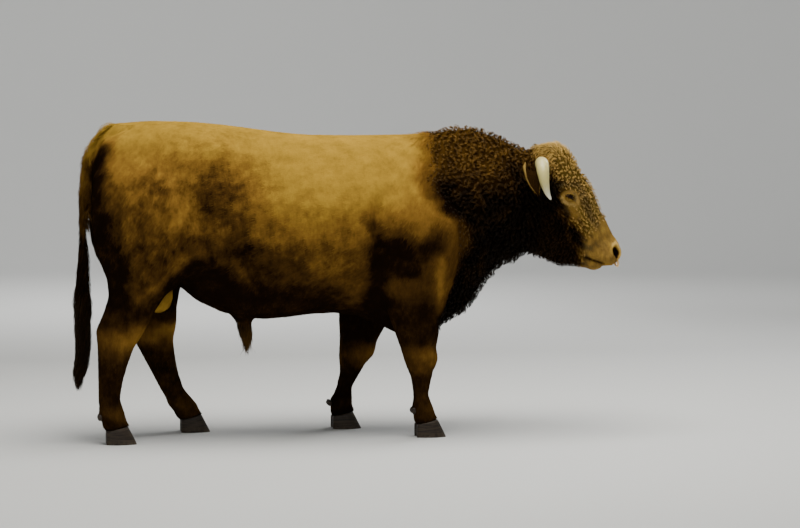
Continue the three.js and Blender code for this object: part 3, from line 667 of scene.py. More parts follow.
creases = [  # line on the left side, width, depth (below 0 stands for a ridge)
    ([(0.07, 0.36, 1.16), (0.05, 0.37, 0.96), (0.085, 0.33, 0.74)], 0.032, 0.020),  # behind the elbow
    ([(0.10, 0.36, 0.86), (0.22, 0.36, 0.83), (0.34, 0.33, 0.87)], 0.026, 0.013),  # above the forearm
    ([(0.36, 0.27, 1.34), (0.42, 0.30, 1.15), (0.47, 0.32, 1.00)], 0.035, -0.008),  # shoulder blade
    ([(0.50, 0.30, 1.22), (0.55, 0.29, 1.02), (0.52, 0.26, 0.84)], 0.035, 0.014),  # before the shoulder
    ([(-1.08, 0.30, 1.30), (-1.16, 0.32, 1.08), (-1.15, 0.31, 0.84)], 0.026, 0.010),  # ham
    ([(-0.60, 0.33, 1.02), (-0.66, 0.34, 0.90), (-0.78, 0.31, 0.80)], 0.024, -0.012),  # flank fold
    ([(-0.56, 0.33, 0.86), (-0.68, 0.30, 0.76), (-0.80, 0.22, 0.72)], 0.034, 0.016),  # under the fold
    ([(0.84, 0.13, 0.93), (0.70, 0.19, 0.86), (0.58, 0.22, 0.84)], 0.030, 0.012),  # furrow of the throat
    ([(0.90, 0.14, 1.18), (0.92, 0.14, 1.02), (0.935, 0.10, 0.88)], 0.022, 0.011),  # behind the cheek
    ([(-0.9, 0.0, 1.49), (-0.2, 0.0, 1.44)], 0.020, 0.004),  # along the spine
    ([(-1.265, 0.0, 1.26), (-1.26, 0.0, 1.0), (-1.20, 0.0, 0.86)], 0.030, 0.034),  # cleft
    ([(-1.08, 0.076, 1.455), (-1.15, 0.070, 1.430), (-1.205, 0.064, 1.385), (-1.24, 0.060, 1.32),
      (-1.262, 0.056, 1.18)], 0.022, 0.014),  # beside the root of the tail
]
faceBulges = [
    ((1.04, 0.128, 1.178), (0.040, 0.03, 0.016), 0.0075),  # brow
    ((1.045, 0.125, 1.098), (0.040, 0.03, 0.014), 0.0030),  # bag under the eye
    ((0.99, 0.130, 1.235), (0.035, 0.04, 0.035), -0.0060),  # temple
    ((1.105, 0.105, 1.100), (0.030, 0.03, 0.030), -0.0040),  # before the eye
    ((1.00, 0.130, 0.965), (0.070, 0.05, 0.095), 0.0090),  # cheek
    ((1.290, 0.060, 0.905), (0.028, 0.03, 0.026), 0.0050),  # wing of the nostril
    ((1.245, 0.065, 0.835), (0.040, 0.04, 0.020), 0.0065),  # upper lip
    ((1.205, 0.045, 0.800), (0.040, 0.04, 0.018), 0.0045),  # lower lip
    ((1.215, 0.060, 0.915), (0.030, 0.03, 0.030), -0.0030),  # behind the nostril
]
faceCreases = [
    ([(1.085, 0.12, 1.085), (1.14, 0.10, 1.0), (1.17, 0.09, 0.95)], 0.016, -0.0045),  # facial crest
    ([(1.14, 0.10, 1.10), (1.19, 0.075, 1.0), (1.24, 0.06, 0.93)], 0.015, 0.0030),  # side of the nose
]
mouth = {"line": [(1.262, 0.803), (1.222, 0.812), (1.178, 0.826), (1.136, 0.842)], "width": 0.0052,
         "depth": 0.0085, "setBack": 0.34}
nostril = {
    "centre": np.array((1.292, 0.059, 0.862)), "out": np.array((0.60, 0.78, 0.05)), "bend": 9.0,
    "up": np.array((-0.30, 0.18, 0.94)), "long": 0.0285, "wide": 0.0270, "depth": 0.030, "rim": 0.0050,
}


sculpting = {"muscles": 1.5, "creases": 1.6, "throatWave": 0.075, "throatFolds": 0.005, "philtrum": 0.004}


def pushAlong(points, normals, amounts):
    points += normals * amounts[:, None]


def sculptBody(points, normals):
    folded = onOneSide(points)
    normals = normals * (1 - zonesOf(points)["tail"])[:, None]
    for centre, radii, height in muscles:
        pushAlong(points, normals, sculpting["muscles"] * height * np.exp(-(((folded - centre) / radii) ** 2).sum(1)))
    for line, width, depth in creases:
        pushAlong(points, normals, -sculpting["creases"] * depth * bell(lineDistance(folded, line), width))
    x, _, z = folded.T
    folds = np.sin((x * 0.9 - z * 0.45) * 2 * np.pi / sculpting["throatWave"] + 1.5 * drift(points, 0.2, 8))
    throat = ramp(x, 0.60, 0.70) * fade(x, 0.83, 0.9) * fade(z, 1.0, 1.2)
    pushAlong(points, normals, sculpting["throatFolds"] * folds * throat)


legForms = {  # how far each form stands out; below 0 is a hollow
    "cannon": -0.0045, "fetlock": 0.004, "foot": 0.004, "toes": -0.010, "knee": 0.006, "belowKnee": -0.003,
    "groove": -0.006, "tendon": -0.012, "hock": 0.0045,
}


def sculptLegs(points, normals):
    for leg, side in legs:
        top = legs[leg, side][0][-1]
        forward, outward = legPlace(points, leg, side)
        z = points[:, 2]
        inside = (np.sign(points[:, 1]) == sides[side]) & (np.abs(forward) < 1.5) & (z < top)
        hold = inside * fade(z, top - 0.08, top)

        def form(name, *shares):
            amounts = legForms[name] * hold
            for share in shares:
                amounts = amounts * share
            pushAlong(points, normals, amounts)

        form("cannon", ramp(z, 0.15, 0.19) * fade(z, 0.27, 0.33), bell(forward + 0.30, 0.22))
        form("fetlock", bell(z - 0.135, 0.026), 1 - 0.7 * np.clip(forward, -1, 1))
        form("foot", fade(z, 0.085, 0.11))
        form("toes", fade(z, 0.09, 0.15) * bell(outward, 0.20) * ramp(forward, 0.1, 0.6))
        if leg == "fore":
            form("knee", bell(z - 0.375, 0.035) * ramp(forward, 0.0, 0.8))
            form("belowKnee", bell(z - 0.315, 0.018) * ramp(forward, -0.2, 0.6))
            form("groove", bell(forward - 0.25, 0.13) * ramp(z, 0.46, 0.54) * fade(z, 0.66, 0.74),
                 ramp(outward, 0.1, 0.6))
        else:
            form("tendon", bell(forward + 0.45, 0.18) * ramp(z, 0.49, 0.55) * fade(z, 0.66, 0.76), np.abs(outward))
            form("hock", bell(z - 0.475, 0.035) * bell(forward - 0.2, 0.5))


def sculptFace(points, normals):
    folded = onOneSide(points)
    for centre, radii, height in faceBulges:
        pushAlong(points, normals, height * np.exp(-(((folded - centre) / radii) ** 2).sum(1)))
    for line, width, depth in faceCreases:
        pushAlong(points, normals, -depth * bell(lineDistance(folded, line), width))
    # mouth: one line of the side view, run round both sides and the front
    slit = bell(sideDistance(folded, mouth["line"]), mouth["width"])
    pushAlong(points, normals, -mouth["depth"] * ramp(folded[:, 0], 1.12, 1.16) * slit)
    # the lower lip stands back under the upper one
    level = np.interp(folded[:, 0], *np.array(sorted(mouth["line"])).T)
    under = ramp(level - folded[:, 2], 0.0, 0.006) * np.clip(folded[:, 0] - 1.150, 0, 1)
    points[:, 0] -= mouth["setBack"] * under
    groove = bell(points[:, 1], 0.006) * ramp(points[:, 0], 1.27, 1.30)
    pushAlong(points, normals, -sculpting["philtrum"] * groove)
    # nostrils
    out = unit(nostril["out"])
    reach, near = nostrilReach(points)
    hole = fade(reach, 0.62, 1.12) * near
    rim = bell(reach - 1.32, 0.24) * near
    points -= toOwnSide(out, points) * (nostril["depth"] * hole)[:, None]
    pushAlong(points, normals, nostril["rim"] * rim)


def eyeAxes():  # the eye's own axes on the left side: forward along the slit, up, and out
    out = unit(eyeFrame["out"])
    front = unit(eyeFrame["front"] - (eyeFrame["front"] @ out) * out)
    up = np.cross(front, out)
    return front, up if up[2] > 0 else -up, out


def sinkUnderLids(points):
    front, up, out = eyeAxes()
    local = onOneSide(points) - eyeFrame["centre"]
    a, b, w = local @ front, local @ up, local @ out
    reach = np.hypot(a / 1.15, b)
    near = (w > -0.02) & (w < 0.06)
    target = 0.002 + 0.03 * ramp(reach, 0.018, 0.034)
    drop = np.where(near & (reach < 0.034), np.minimum(target - w, 0), 0) * fade(reach, 0.026, 0.034)
    points += toOwnSide(out, points) * drop[:, None]


lids = {
    "long": 0.0216, "upper": 0.0086, "lower": 0.0088, "edge": 0.0012, "thick": 0.0042, "reach": 0.021,
    "ring": 72, "rows": 16, "fold": 0.0013,
    "folds": (  # height, place across the lid, width, and whether it is the upper lid
        (-2.6, 0.52, 0.08, True), (2.2, 0.28, 0.14, True), (-1.5, 0.26, 0.07, False), (1.5, 0.46, 0.10, False)),
}


def lidPatch(side, ground):  # lids round one eye, from the wet edge out to the skin of the face
    front, up, out = eyeAxes()
    flip = np.array((1, sides[side], 1))
    centre = eyeFrame["centre"] * flip
    front, up, out = front * flip, up * flip, out * flip
    turn = circleTurns(lids["ring"])
    high = np.where(np.sin(turn) > 0, lids["upper"], lids["lower"])
    a0 = lids["long"] * np.cos(turn)
    b0 = high * np.sin(turn) * np.abs(np.sin(turn)) ** 0.35 - 0.0016 * np.cos(turn)
    away = unit(np.stack([np.cos(turn) * 0.62, np.sin(turn)], 1))
    upper = ramp(np.sin(turn), 0.0, 0.6)
    rows = []
    for k in range(lids["rows"]):
        share = k / (lids["rows"] - 1)
        shift = lids["reach"] * share ** 1.25
        a = a0 + away[:, 0] * shift
        b = b0 + away[:, 1] * shift
        rise = lids["edge"] + (lids["thick"] - lids["edge"]) * np.sqrt(ramp(share, 0.0, 0.16))
        w = np.sqrt(np.maximum((eyeFrame["radius"] + rise) ** 2 - a ** 2 - b ** 2, 0))
        fold = np.zeros(len(turn))
        for height, place, wide, isUpper in lids["folds"]:
            fold += lids["fold"] * height * bell(share - place, wide) * (upper if isUpper else 1 - upper)
        spots = centre + np.outer(a, front) + np.outer(b, up)
        surface = np.zeros(len(turn))
        for i, spot in enumerate(spots):
            hit = ground.ray_cast(Vector(spot + out * 0.06), Vector(-out))[0]
            surface[i] = (np.array(hit) - centre) @ out if hit is not None else 0.02
        level = mixed(w, surface - 0.0012 * share, ramp(share, 0.30, 0.95)) + fold
        rows.append(spots + np.outer(level, out))
    inner = rows[0] - out * 0.005
    return np.concatenate([inner] + rows), facesOn(side, ringFaces(lids["rows"] + 1, lids["ring"]))


ear = {
    "line": [  # x, y, z, half width, half thickness
        (0.864, 0.086, 1.228, 0.022, 0.018), (0.848, 0.120, 1.250, 0.031, 0.013),
        (0.835, 0.155, 1.259, 0.049, 0.0075), (0.830, 0.186, 1.240, 0.052, 0.006),
        (0.836, 0.204, 1.206, 0.040, 0.005), (0.848, 0.214, 1.172, 0.018, 0.0045),
        (0.858, 0.218, 1.153, 0.004, 0.0025)],
    "widthWay": np.array((-0.93, 0.05, 0.34)),
    "cup": 0.55, "steps": 44, "ring": 40, "roll": 0.009,
}


def earLeaf(side):
    hollow = []

    def outline(share, sizes, turn):
        half, thick = sizes
        wide = np.clip(half / 0.05, 0, 1)
        edge = np.maximum(np.abs(np.cos(turn)) - 0.70, 0) / 0.30
        across = half * np.cos(turn) * (1 - 0.16 * edge ** 2 * wide)
        ripple = 0.0012 * np.sin(across * 260 + share * 9) * wide
        lift = ear["cup"] * across ** 2 / half + ripple + ear["roll"] * edge ** 1.5 * wide
        hollow.append(np.stack([ramp(np.sin(turn), -0.2, 0.3), edge ** 2 * np.sign(np.cos(turn)) * wide], 1))
        rim = 0.9 + 3.4 * bell(share - 0.38, 0.12)
        return across, thick * (1 + rim * edge * wide) * np.sin(turn) + lift
    points, faces = sweep(ear["line"], ear["steps"], ear["ring"], ear["widthWay"], outline)
    return points * (1, sides[side], 1), facesOn(side, faces), np.concatenate(hollow)


def addIsland(mesh, points, faces):
    work = bmesh.new()
    work.from_mesh(mesh)
    start = [work.verts.new(p) for p in points.tolist()]
    for face in faces:
        work.faces.new([start[i] for i in face])
    bmesh.ops.recalc_face_normals(work, faces=work.faces[:])
    work.to_mesh(mesh)
    work.free()
    mesh.update()


def makeSkin():
    mesh = remeshed(joinedFlesh(), skinShape["grain"])
    x, _, z = valuesOf(mesh.vertices, "co").T
    trunk = ramp(z, 0.62, 0.82) * ramp(x, -1.22, -1.10) * fade(x, 0.82, 0.90)
    trunk = np.maximum(trunk, ramp(x, -0.62, -0.52) * fade(x, -0.12, 0.0) * ramp(z, 0.58, 0.62))
    relax(mesh, skinShape["relaxed"] + (skinShape["relaxedTrunk"] - skinShape["relaxed"]) * trunk, 1 - trunk)
    # finer faces on the head, and finer still at eyes, nostrils and mouth
    refine(mesh, valuesOf(mesh.vertices, "co")[:, 0] > skinShape["headFrom"])
    relax(mesh, skinShape["relaxedHead"] * (valuesOf(mesh.vertices, "co")[:, 0] > skinShape["headFrom"] + 0.02), 1.0)
    for reachEye, reachNose in skinShape["fineRounds"]:
        folded = onOneSide(valuesOf(mesh.vertices, "co"))
        nearEye = np.linalg.norm(folded - eyeFrame["centre"], axis=1) < reachEye
        nearNose = np.linalg.norm(folded - nostril["centre"], axis=1) < reachNose
        nearMouth = sideDistance(folded, mouth["line"]) < skinShape["fineMouth"]
        refine(mesh, nearEye | nearNose | (nearMouth & (reachEye > 0) & (folded[:, 0] > 1.12)))
    relax(mesh, skinShape["relaxedFace"] * (valuesOf(mesh.vertices, "co")[:, 0] > 1.0), 1.0)
    points = valuesOf(mesh.vertices, "co")
    normals = valuesOf(mesh.vertex_normals, "vector")
    zone = zonesOf(points)
    depth = skinShape["depthShort"] + (skinShape["depthMane"] - skinShape["depthShort"]) * zone["mane"]
    depth = mixed(depth, np.interp(points[:, 2], *skinShape["depthTail"]), zone["tail"])
    depth = depth * ramp(points[:, 2], 0.02, 0.30)
    onHead = skinShape["depthFace"] + (skinShape["depthPoll"] - skinShape["depthFace"]) * zone["poll"]
    onHead = onHead + skinShape["depthCurl"] * zone["curl"]
    onHead = mixed(onHead, skinShape["depthMuzzle"], zone["muzzle"])
    pushAlong(points, normals, -mixed(depth, onHead, zone["head"]))
    sculptBody(points, normals)
    sculptLegs(points, normals)
    sculptFace(points, normals)
    movePoints(mesh, points)
    ground = BVHTree.FromPolygons([v.co.copy() for v in mesh.vertices], [p.vertices[:] for p in mesh.polygons])
    islands = [lidPatch(side, ground) for side in sides] + [earLeaf(side) for side in sides]
    sinkUnderLids(points)
    movePoints(mesh, points)
    counts = [len(mesh.vertices)] + [len(island[0]) for island in islands]
    for island in islands:
        addIsland(mesh, *island[:2])
    hollows = np.concatenate([np.zeros((counts[0] + counts[1] + counts[2], 2))] + [i[2] for i in islands[2:]])
    print("skin:", len(mesh.vertices), "vertices,", sum(len(p.vertices) - 2 for p in mesh.polygons), "triangles")
    # rows darkened at the lids' edges, more of them on the lower lid as painted shadow below the eye
    lidRows = np.zeros(len(mesh.vertices))
    row, turn = np.divmod(np.arange(counts[1]), lids["ring"])
    lower = np.sin(circleTurns(lids["ring"]))[turn] < 0
    for start in (counts[0], counts[0] + counts[1]):
        lidRows[start:start + counts[1]] = np.clip(np.where(lower, (7.5 - row) / 4, 3.5 - row), 0, 1)
    return mesh, np.repeat((0, 1, 1, 2, 2), counts), hollows, lidRows


skinMesh, skinPart, earPlace, lidEdge = makeSkin()  # part 0 is the body, 1 the lids, 2 the ears


# shaders
def nodeGroup(name, inputs, outputs):
    group = bpy.data.node_groups.new(name, "ShaderNodeTree")
    for socketName, kind, value in inputs:
        socket = group.interface.new_socket(socketName, in_out="INPUT", socket_type=kind)
        socket.default_value = value
    for socketName, kind in outputs:
        group.interface.new_socket(socketName, in_out="OUTPUT", socket_type=kind)
    return group, group.nodes.new("NodeGroupInput"), group.nodes.new("NodeGroupOutput")


def makeNode(tree, kind, links=(), **settings):  # links: input name or number -> a socket or a value
    node = tree.nodes.new(kind)
    for key, value in settings.items():
        setattr(node, key, value)
    for key, value in dict(links).items():
        if isinstance(value, bpy.types.NodeSocket):
            tree.links.new(value, node.inputs[key])
        else:
            node.inputs[key].default_value = value
    return node


def mathNode(tree, operation, a, b=0.0, clamp=False):
    return makeNode(tree, "ShaderNodeMath", {0: a, 1: b}, operation=operation, use_clamp=clamp).outputs[0]


def blendNode(tree, share, a, b, how="MIX"):
    node = tree.nodes.new("ShaderNodeMix")
    node.data_type = "RGBA"
    node.blend_type = how
    for socket, value in ((node.inputs[0], share), (node.inputs[6], a), (node.inputs[7], b)):
        if isinstance(value, bpy.types.NodeSocket):
            tree.links.new(value, socket)
        else:
            socket.default_value = value
    return node.outputs[2]


def stretched(tree, place, factors):
    return makeNode(tree, "ShaderNodeVectorMath", {0: place, 1: factors}, operation="MULTIPLY").outputs[0]


def addRelief(tree, shader, height, strength, distance=0.001):
    relief = makeNode(tree, "ShaderNodeBump", {"Height": height, "Strength": strength, "Distance": distance})
    tree.links.new(relief.outputs["Normal"], shader.inputs["Normal"])


def readValue(tree, name, vector=False):
    node = makeNode(tree, "ShaderNodeAttribute", attribute_name=name)
    return node.outputs["Vector" if vector else "Fac"]


def noiseValue(tree, place, size, detail=2.0, roughness=0.5):
    links = {"Vector": place, "Scale": size, "Detail": detail, "Roughness": roughness}
    return makeNode(tree, "ShaderNodeTexNoise", links).outputs["Fac"]


def rampValue(tree, value, low, high):
    return makeNode(tree, "ShaderNodeMapRange", {"Value": value, "From Min": low, "From Max": high},
                    interpolation_type="SMOOTHSTEP").outputs["Result"]


colours = {  # linear red, green, blue
    "gold": (0.350, 0.207, 0.027, 1),
    "amber": (0.225, 0.115, 0.019, 1),
    "brown": (0.080, 0.038, 0.008, 1),
    "deep": (0.0085, 0.0040, 0.0018, 1),
    "maneLight": (0.165, 0.078, 0.013, 1),
    "pale": (0.55, 0.36, 0.11, 1),
}


# rootShade darkens the roots as painted shade deep in the coat; the tips' brightening factor is a painted highlight
hideInputs = {  # what each kind of hair may set for itself
    "dappleSize": 15.0, "dappleDepth": 1.2, "mottle": 1.1, "rootShade": 0.45, "tipGlow": 0.0, "ownDepth": 0.28,
    "tipPale": 0.0, "ownMix": 0.0,
}


def makeHideTone():
    # the colour of hide and hair from the zones, the same for skin and tufts, and a height of fine strands
    group, given, made = nodeGroup(
        "hideTone",
        [(name, "NodeSocketColor", value) for name, value in colours.items()]
        + [(name, "NodeSocketFloat", value) for name, value in hideInputs.items()],
        [("tone", "NodeSocketColor"), ("strands", "NodeSocketFloat")])
    inputs = given.outputs

    def times(a, b):
        return mathNode(group, "MULTIPLY", a, b)

    def plus(a, b):
        return mathNode(group, "ADD", a, b)

    def without(a, b):
        return mathNode(group, "SUBTRACT", a, b)

    place = readValue(group, "rootPlace", vector=True)
    zone = {name: readValue(group, name) for name in zoneNames}
    own = readValue(group, "ownShift")
    tip = readValue(group, "tipShare")
    broad = noiseValue(group, place, inputs["dappleSize"], 3.0, 0.60)
    fine = noiseValue(group, stretched(group, place, (58.0, 58.0, 26.0)), 1.0, 2.0, 0.6)
    uneven = without(plus(times(broad, 0.66), times(fine, 0.34)), 0.5)
    sway = times(times(uneven, inputs["dappleDepth"]), zone["dapple"])
    sway = plus(sway, times(own, inputs["ownMix"]))
    shade = mathNode(group, "ADD", zone["dark"], sway, clamp=True)
    tone = blendNode(group, rampValue(group, shade, 0.0, 0.38), inputs["gold"], inputs["amber"])
    tone = blendNode(group, times(zone["maneTone"], 0.9), tone, inputs["maneLight"])
    tone = blendNode(group, rampValue(group, shade, 0.28, 0.72), tone, inputs["brown"])
    tone = blendNode(group, rampValue(group, shade, 0.60, 1.0), tone, inputs["deep"])
    tone = blendNode(group, zone["pale"], tone, inputs["pale"])
    # single tufts differ a little; their roots are darker than their tips as painted shade deep in the coat, and the
    # tips get a painted highlight
    tipSquare = times(tip, tip)
    light = without(1.0, rampValue(group, shade, 0.15, 0.75))
    tone = blendNode(group, times(times(tipSquare, light), inputs["tipPale"]), tone, inputs["pale"])
    level = plus(times(tip, inputs["rootShade"]), without(1.0, inputs["rootShade"]))
    level = times(level, plus(1.0, times(own, inputs["ownDepth"])))
    level = times(level, plus(1.0, times(tipSquare, inputs["tipGlow"])))
    level = times(level, without(1.0, times(uneven, inputs["mottle"])))
    grey = makeNode(group, "ShaderNodeCombineColor", {0: level, 1: level, 2: level}).outputs[0]
    strands = noiseValue(group, stretched(group, place, (160.0, 700.0, 420.0)), 1.0, 2.0, 0.6)
    group.links.new(blendNode(group, 1.0, tone, grey, "MULTIPLY"), made.inputs["tone"])
    group.links.new(strands, made.inputs["strands"])
    return group


hideTone = makeHideTone()


def newMaterial(name, **settings):
    material = bpy.data.materials.new(name)
    material.use_nodes = True
    shader = material.node_tree.nodes["Principled BSDF"]
    for key, value in settings.items():
        shader.inputs[key].default_value = value
    return material, material.node_tree, shader


def hideMaterial(name, bump=0.0, bumpSize=0.001, roughness=0.62, specular=0.03, **tones):
    material, tree, shader = newMaterial(
        name, **{"Roughness": roughness, "Specular IOR Level": specular, "Specular Tint": (1.0, 0.80, 0.50, 1.0)})
    tone = makeNode(tree, "ShaderNodeGroup", node_tree=hideTone)
    for key, value in tones.items():
        tone.inputs[key].default_value = value
    tree.links.new(tone.outputs["tone"], shader.inputs["Base Color"])
    if bump:
        addRelief(tree, shader, tone.outputs["strands"], bump, bumpSize)
    return material


materials = {
    "hide": hideMaterial("hide", bump=0.5, rootShade=0.80, bumpSize=0.002, specular=0.0),
    "shortHair": hideMaterial("shortHair", rootShade=0.10, ownDepth=0.10, ownMix=0.09, specular=0.0),
    "faceHair": hideMaterial("faceHair", rootShade=0.50, ownDepth=0.28, ownMix=0.10, tipGlow=0.25, tipPale=0.18),
    "curledHair": hideMaterial("curledHair", rootShade=0.80, tipGlow=0.30, tipPale=0.10, roughness=0.5, specular=0.08),
    "headHair": hideMaterial("headHair", rootShade=0.50, tipGlow=1.30, tipPale=0.70, roughness=0.5, specular=0.08),
    "longHair": hideMaterial("longHair", rootShade=0.40, roughness=0.5, specular=0.08),
}


# fill in the skin's zones
def markZones(mesh, points, zone):
    for name in zoneNames:
        setValues(mesh, name, zone[name])
    setValues(mesh, "rootPlace", points)


def darkZone(dark):  # plain dark hair
    return {name: dark if name == "dark" else 0 * dark for name in zoneNames}


def skinZones():
    points = valuesOf(skinMesh.vertices, "co")
    zone = zonesOf(points)
    isEar = skinPart == 2
    hollow, rim = earPlace.T
    zone["maneTone"] = np.where(isEar, 0, zone["maneTone"])
    zone["dapple"] = np.where(isEar, 0, zone["dapple"])
    # Ears: painted shade in the cup, and a paler rim, partly a painted highlight where the light catches it
    zone["dark"] = np.where(isEar, 0.42 + 0.45 * hollow - 0.5 * np.abs(rim), zone["dark"])
    zone["pale"] = np.where(isEar, 0.75 * np.clip(np.abs(rim) * 1.3, 0, 1), zone["pale"])
    # the wet edge of the lids is dark, and painted shadow reaches further over the lower lid
    zone["dark"] = mixed(zone["dark"], 0.88, lidEdge)
    zone["pale"] = zone["pale"] * (1 - lidEdge)
    markZones(skinMesh, points, zone)
    covered = np.where(isEar, 0, zone["curl"])
    # the skin under curls takes the roots' painted shade, so gaps between curls read as shadow
    setValues(skinMesh, "tipShare", 0.85 - 0.75 * covered)
    return {name: zone[name] for name in zoneNames}


skinZone = skinZones()
pieceFrom("skin", skinMesh, materials["hide"], fleshNodes)
print("skin ready")


# hair: tufts and curls from places scattered on the skin
class Ground:  # the skin's triangles, from which roots are drawn
    def __init__(self, mesh, zone, part=None):
        mesh.calc_loop_triangles()
        self.corners = indicesOf(mesh.loop_triangles, "vertices", 3)
        self.points = valuesOf(mesh.vertices, "co")
        self.normals = valuesOf(mesh.vertex_normals, "vector")
        a, b, c = (self.points[self.corners[:, k]] for k in range(3))
        self.area = np.linalg.norm(np.cross(b - a, c - a), axis=1) / 2
        self.middle = (a + b + c) / 3
        self.part = part[self.corners[:, 0]] if part is not None else np.zeros(len(self.corners))
        self.zone = zone

    def scatter(self, density, seed, most=None):  # density: roots for each square metre, one for each face
        rng = np.random.default_rng(seed)
        weight = self.area * density * coatShare
        count = int(weight.sum())
        if most:
            count = min(count, most)
        steps = (np.arange(count) + rng.random(count)) * weight.sum() / count
        face = np.minimum(np.searchsorted(np.cumsum(weight), steps), len(weight) - 1)
        a, b = rng.random((2, count))
        over = a + b > 1
        a, b = np.where(over, 1 - a, a), np.where(over, 1 - b, b)
        share = np.stack([1 - a - b, a, b], 1)[:, :, None]
        corners = self.corners[face]
        zone = {name: (value[corners] * share[:, :, 0]).sum(1) for name, value in self.zone.items()}
        return (self.points[corners] * share).sum(1), unit((self.normals[corners] * share).sum(1)), zone


ground = Ground(skinMesh, skinZone, skinPart)
middleZone = zonesOf(ground.middle)


def spaced(points, gap):  # keeps points that lie at least gap apart
    tree = KDTree(len(points))
    for i, p in enumerate(points.tolist()):
        tree.insert(p, i)
    tree.balance()
    kept = np.ones(len(points), bool)
    for i, p in enumerate(points.tolist()):
        if kept[i]:
            for _, other, _ in tree.find_range(p, gap):
                if other > i:
                    kept[other] = False
    return np.flatnonzero(kept)


bakePatch = {"size": 0.003, "margin": 0.004}  # shares of the bake map


def strandMesh(name, roots, normals, ways, zone, shape, seed, mapPlace, path=None):
    # each strand is a thin closed lock of three sides that narrows to its tip
    rng = np.random.default_rng(seed)
    count = len(roots)
    steps = shape["steps"]

    def varied(amount):  # a factor of its own for each strand
        return 1 + amount * (rng.random(count) * 2 - 1)

    length = shape["length"] * varied(shape["vary"])
    width = shape["width"] * varied(0.3)
    lift = shape["lift"] * varied(0.5)
    loose = shape.get("loose", 0.3)
    curl = shape.get("curl", 0.0) * varied(loose)
    turns = shape.get("turns", 0.0) * varied(loose)
    phase = shape["phase"] if "phase" in shape else rng.random(count) * 2 * np.pi
    aside = np.cross(normals, ways)
    t = np.linspace(0, 1, steps + 1)[None, :, None]
    if path is None:
        far = length[:, None, None]
        high = lift[:, None, None] * far * np.sin(np.minimum(1.7 * t, 1) * np.pi / 2) * (1 - 0.45 * t)
        line = roots[:, None] + ways[:, None] * far * t + normals[:, None] * (high - shape["sink"] * (1 - t))
    else:
        line = path
    swing = (phase[:, None] + 2 * np.pi * turns[:, None] * t[:, :, 0])[:, :, None]
    grow = curl[:, None, None] * np.minimum(t * 2.2, 1)
    line = line + grow * (np.cos(swing) * aside[:, None] + (1 + np.sin(swing)) * normals[:, None])
    along = unit(np.gradient(line, axis=1))
    across = unit(np.cross(along, np.broadcast_to(normals[:, None], along.shape)))
    above = np.cross(across, along)
    narrow = np.interp(t[0, :, 0], (0, 0.25, 0.6, 1), (0.7, 1.0, 0.8, 0.0))[None, :, None]
    half = width[:, None, None] / 2 * narrow
    thick = half * shape.get("flat", 0.55)
    rings = np.stack([line - across * half, line + across * half, line + above * thick], 2)[:, :-1]
    points = np.concatenate([rings.reshape(count, steps * 3, 3), line[:, -1:]], 1)
    own = steps * 3 + 1
    faces = [(0, 1, 2)]
    for i in range(steps - 1):
        for k in range(3):
            a, b = 3 * i + k, 3 * i + (k + 1) % 3
            faces += [(a, a + 3, b), (b, a + 3, b + 3)]
    tip, last = own - 1, 3 * (steps - 1)
    faces += [(last + k, tip, last + (k + 1) % 3) for k in range(3)]
    faces = np.array(faces)
    allFaces = (faces[None] + (np.arange(count) * own)[:, None, None]).reshape(-1, 3)
    mesh = meshFrom(name, points.reshape(-1, 3), allFaces.tolist())
    rowShare = np.append(np.repeat(np.arange(steps) / steps, 3), 1.0)
    markZones(mesh, np.repeat(roots, own, 0), {key: np.repeat(zone[key], own) for key in zoneNames})
    setValues(mesh, "tipShare", np.tile(rowShare, count))
    setValues(mesh, "ownShift", np.repeat(rng.random(count) * 2 - 1, own))
    # a patch of the bake map for each strand, at its root's place on the unwrapped skin
    sideways = np.append(np.tile((0.0, 1.0, 0.5), steps), 0.5) - 0.5
    lean = np.append(np.tile((0.0, 0.0, 0.3), steps), 0.0) / steps
    local = np.stack([sideways * (1 - 0.6 * rowShare), rowShare + lean - 0.5], 1) * bakePatch["size"]
    spot = bakePatch["margin"] + (1 - 2 * bakePatch["margin"]) * np.clip(mapPlace(roots), 0, 1)
    places = (spot[:, None] + local[None]).reshape(-1, 2)
    layer = mesh.uv_layers.new(name="OFBake")
    loops = indicesOf(mesh.loops, "vertex_index", 1)[:, 0]
    layer.uv.foreach_set("vector", places[loops].ravel().astype(np.float32))
    return mesh


def unrolled(along, turn):  # shares of the way along a part and round it
    return np.stack([(along - along.min()) / (np.ptp(along) or 1), turn / (2 * np.pi) + 0.5], 1)


def aroundTrunk(roots):
    return unrolled(roots[:, 0], np.arctan2(roots[:, 1], roots[:, 2] - 1.02))


def aroundHead(roots):
    along, below = headPlace(roots)
    return unrolled(along, np.arctan2(roots[:, 1], 0.2 - below))


def aroundLegs(roots):  # the legs' four strips side by side, each unrolled
    strip = (roots[:, 1] > 0) + 2 * (roots[:, 0] > -0.4)
    place = np.zeros((len(roots), 2))
    for number, (leg, side) in enumerate(itertools.product(("hind", "fore"), ("right", "left"))):
        forward, outward = legPlace(roots, leg, side)
        turn = np.arctan2(outward, forward) / (2 * np.pi) + 0.5
        onStrip = np.stack([(number + 0.02 + 0.96 * turn) / 4, roots[:, 2]], 1)
        place = np.where((strip == number)[:, None], onStrip, place)
    return place


print("hair tools ready")


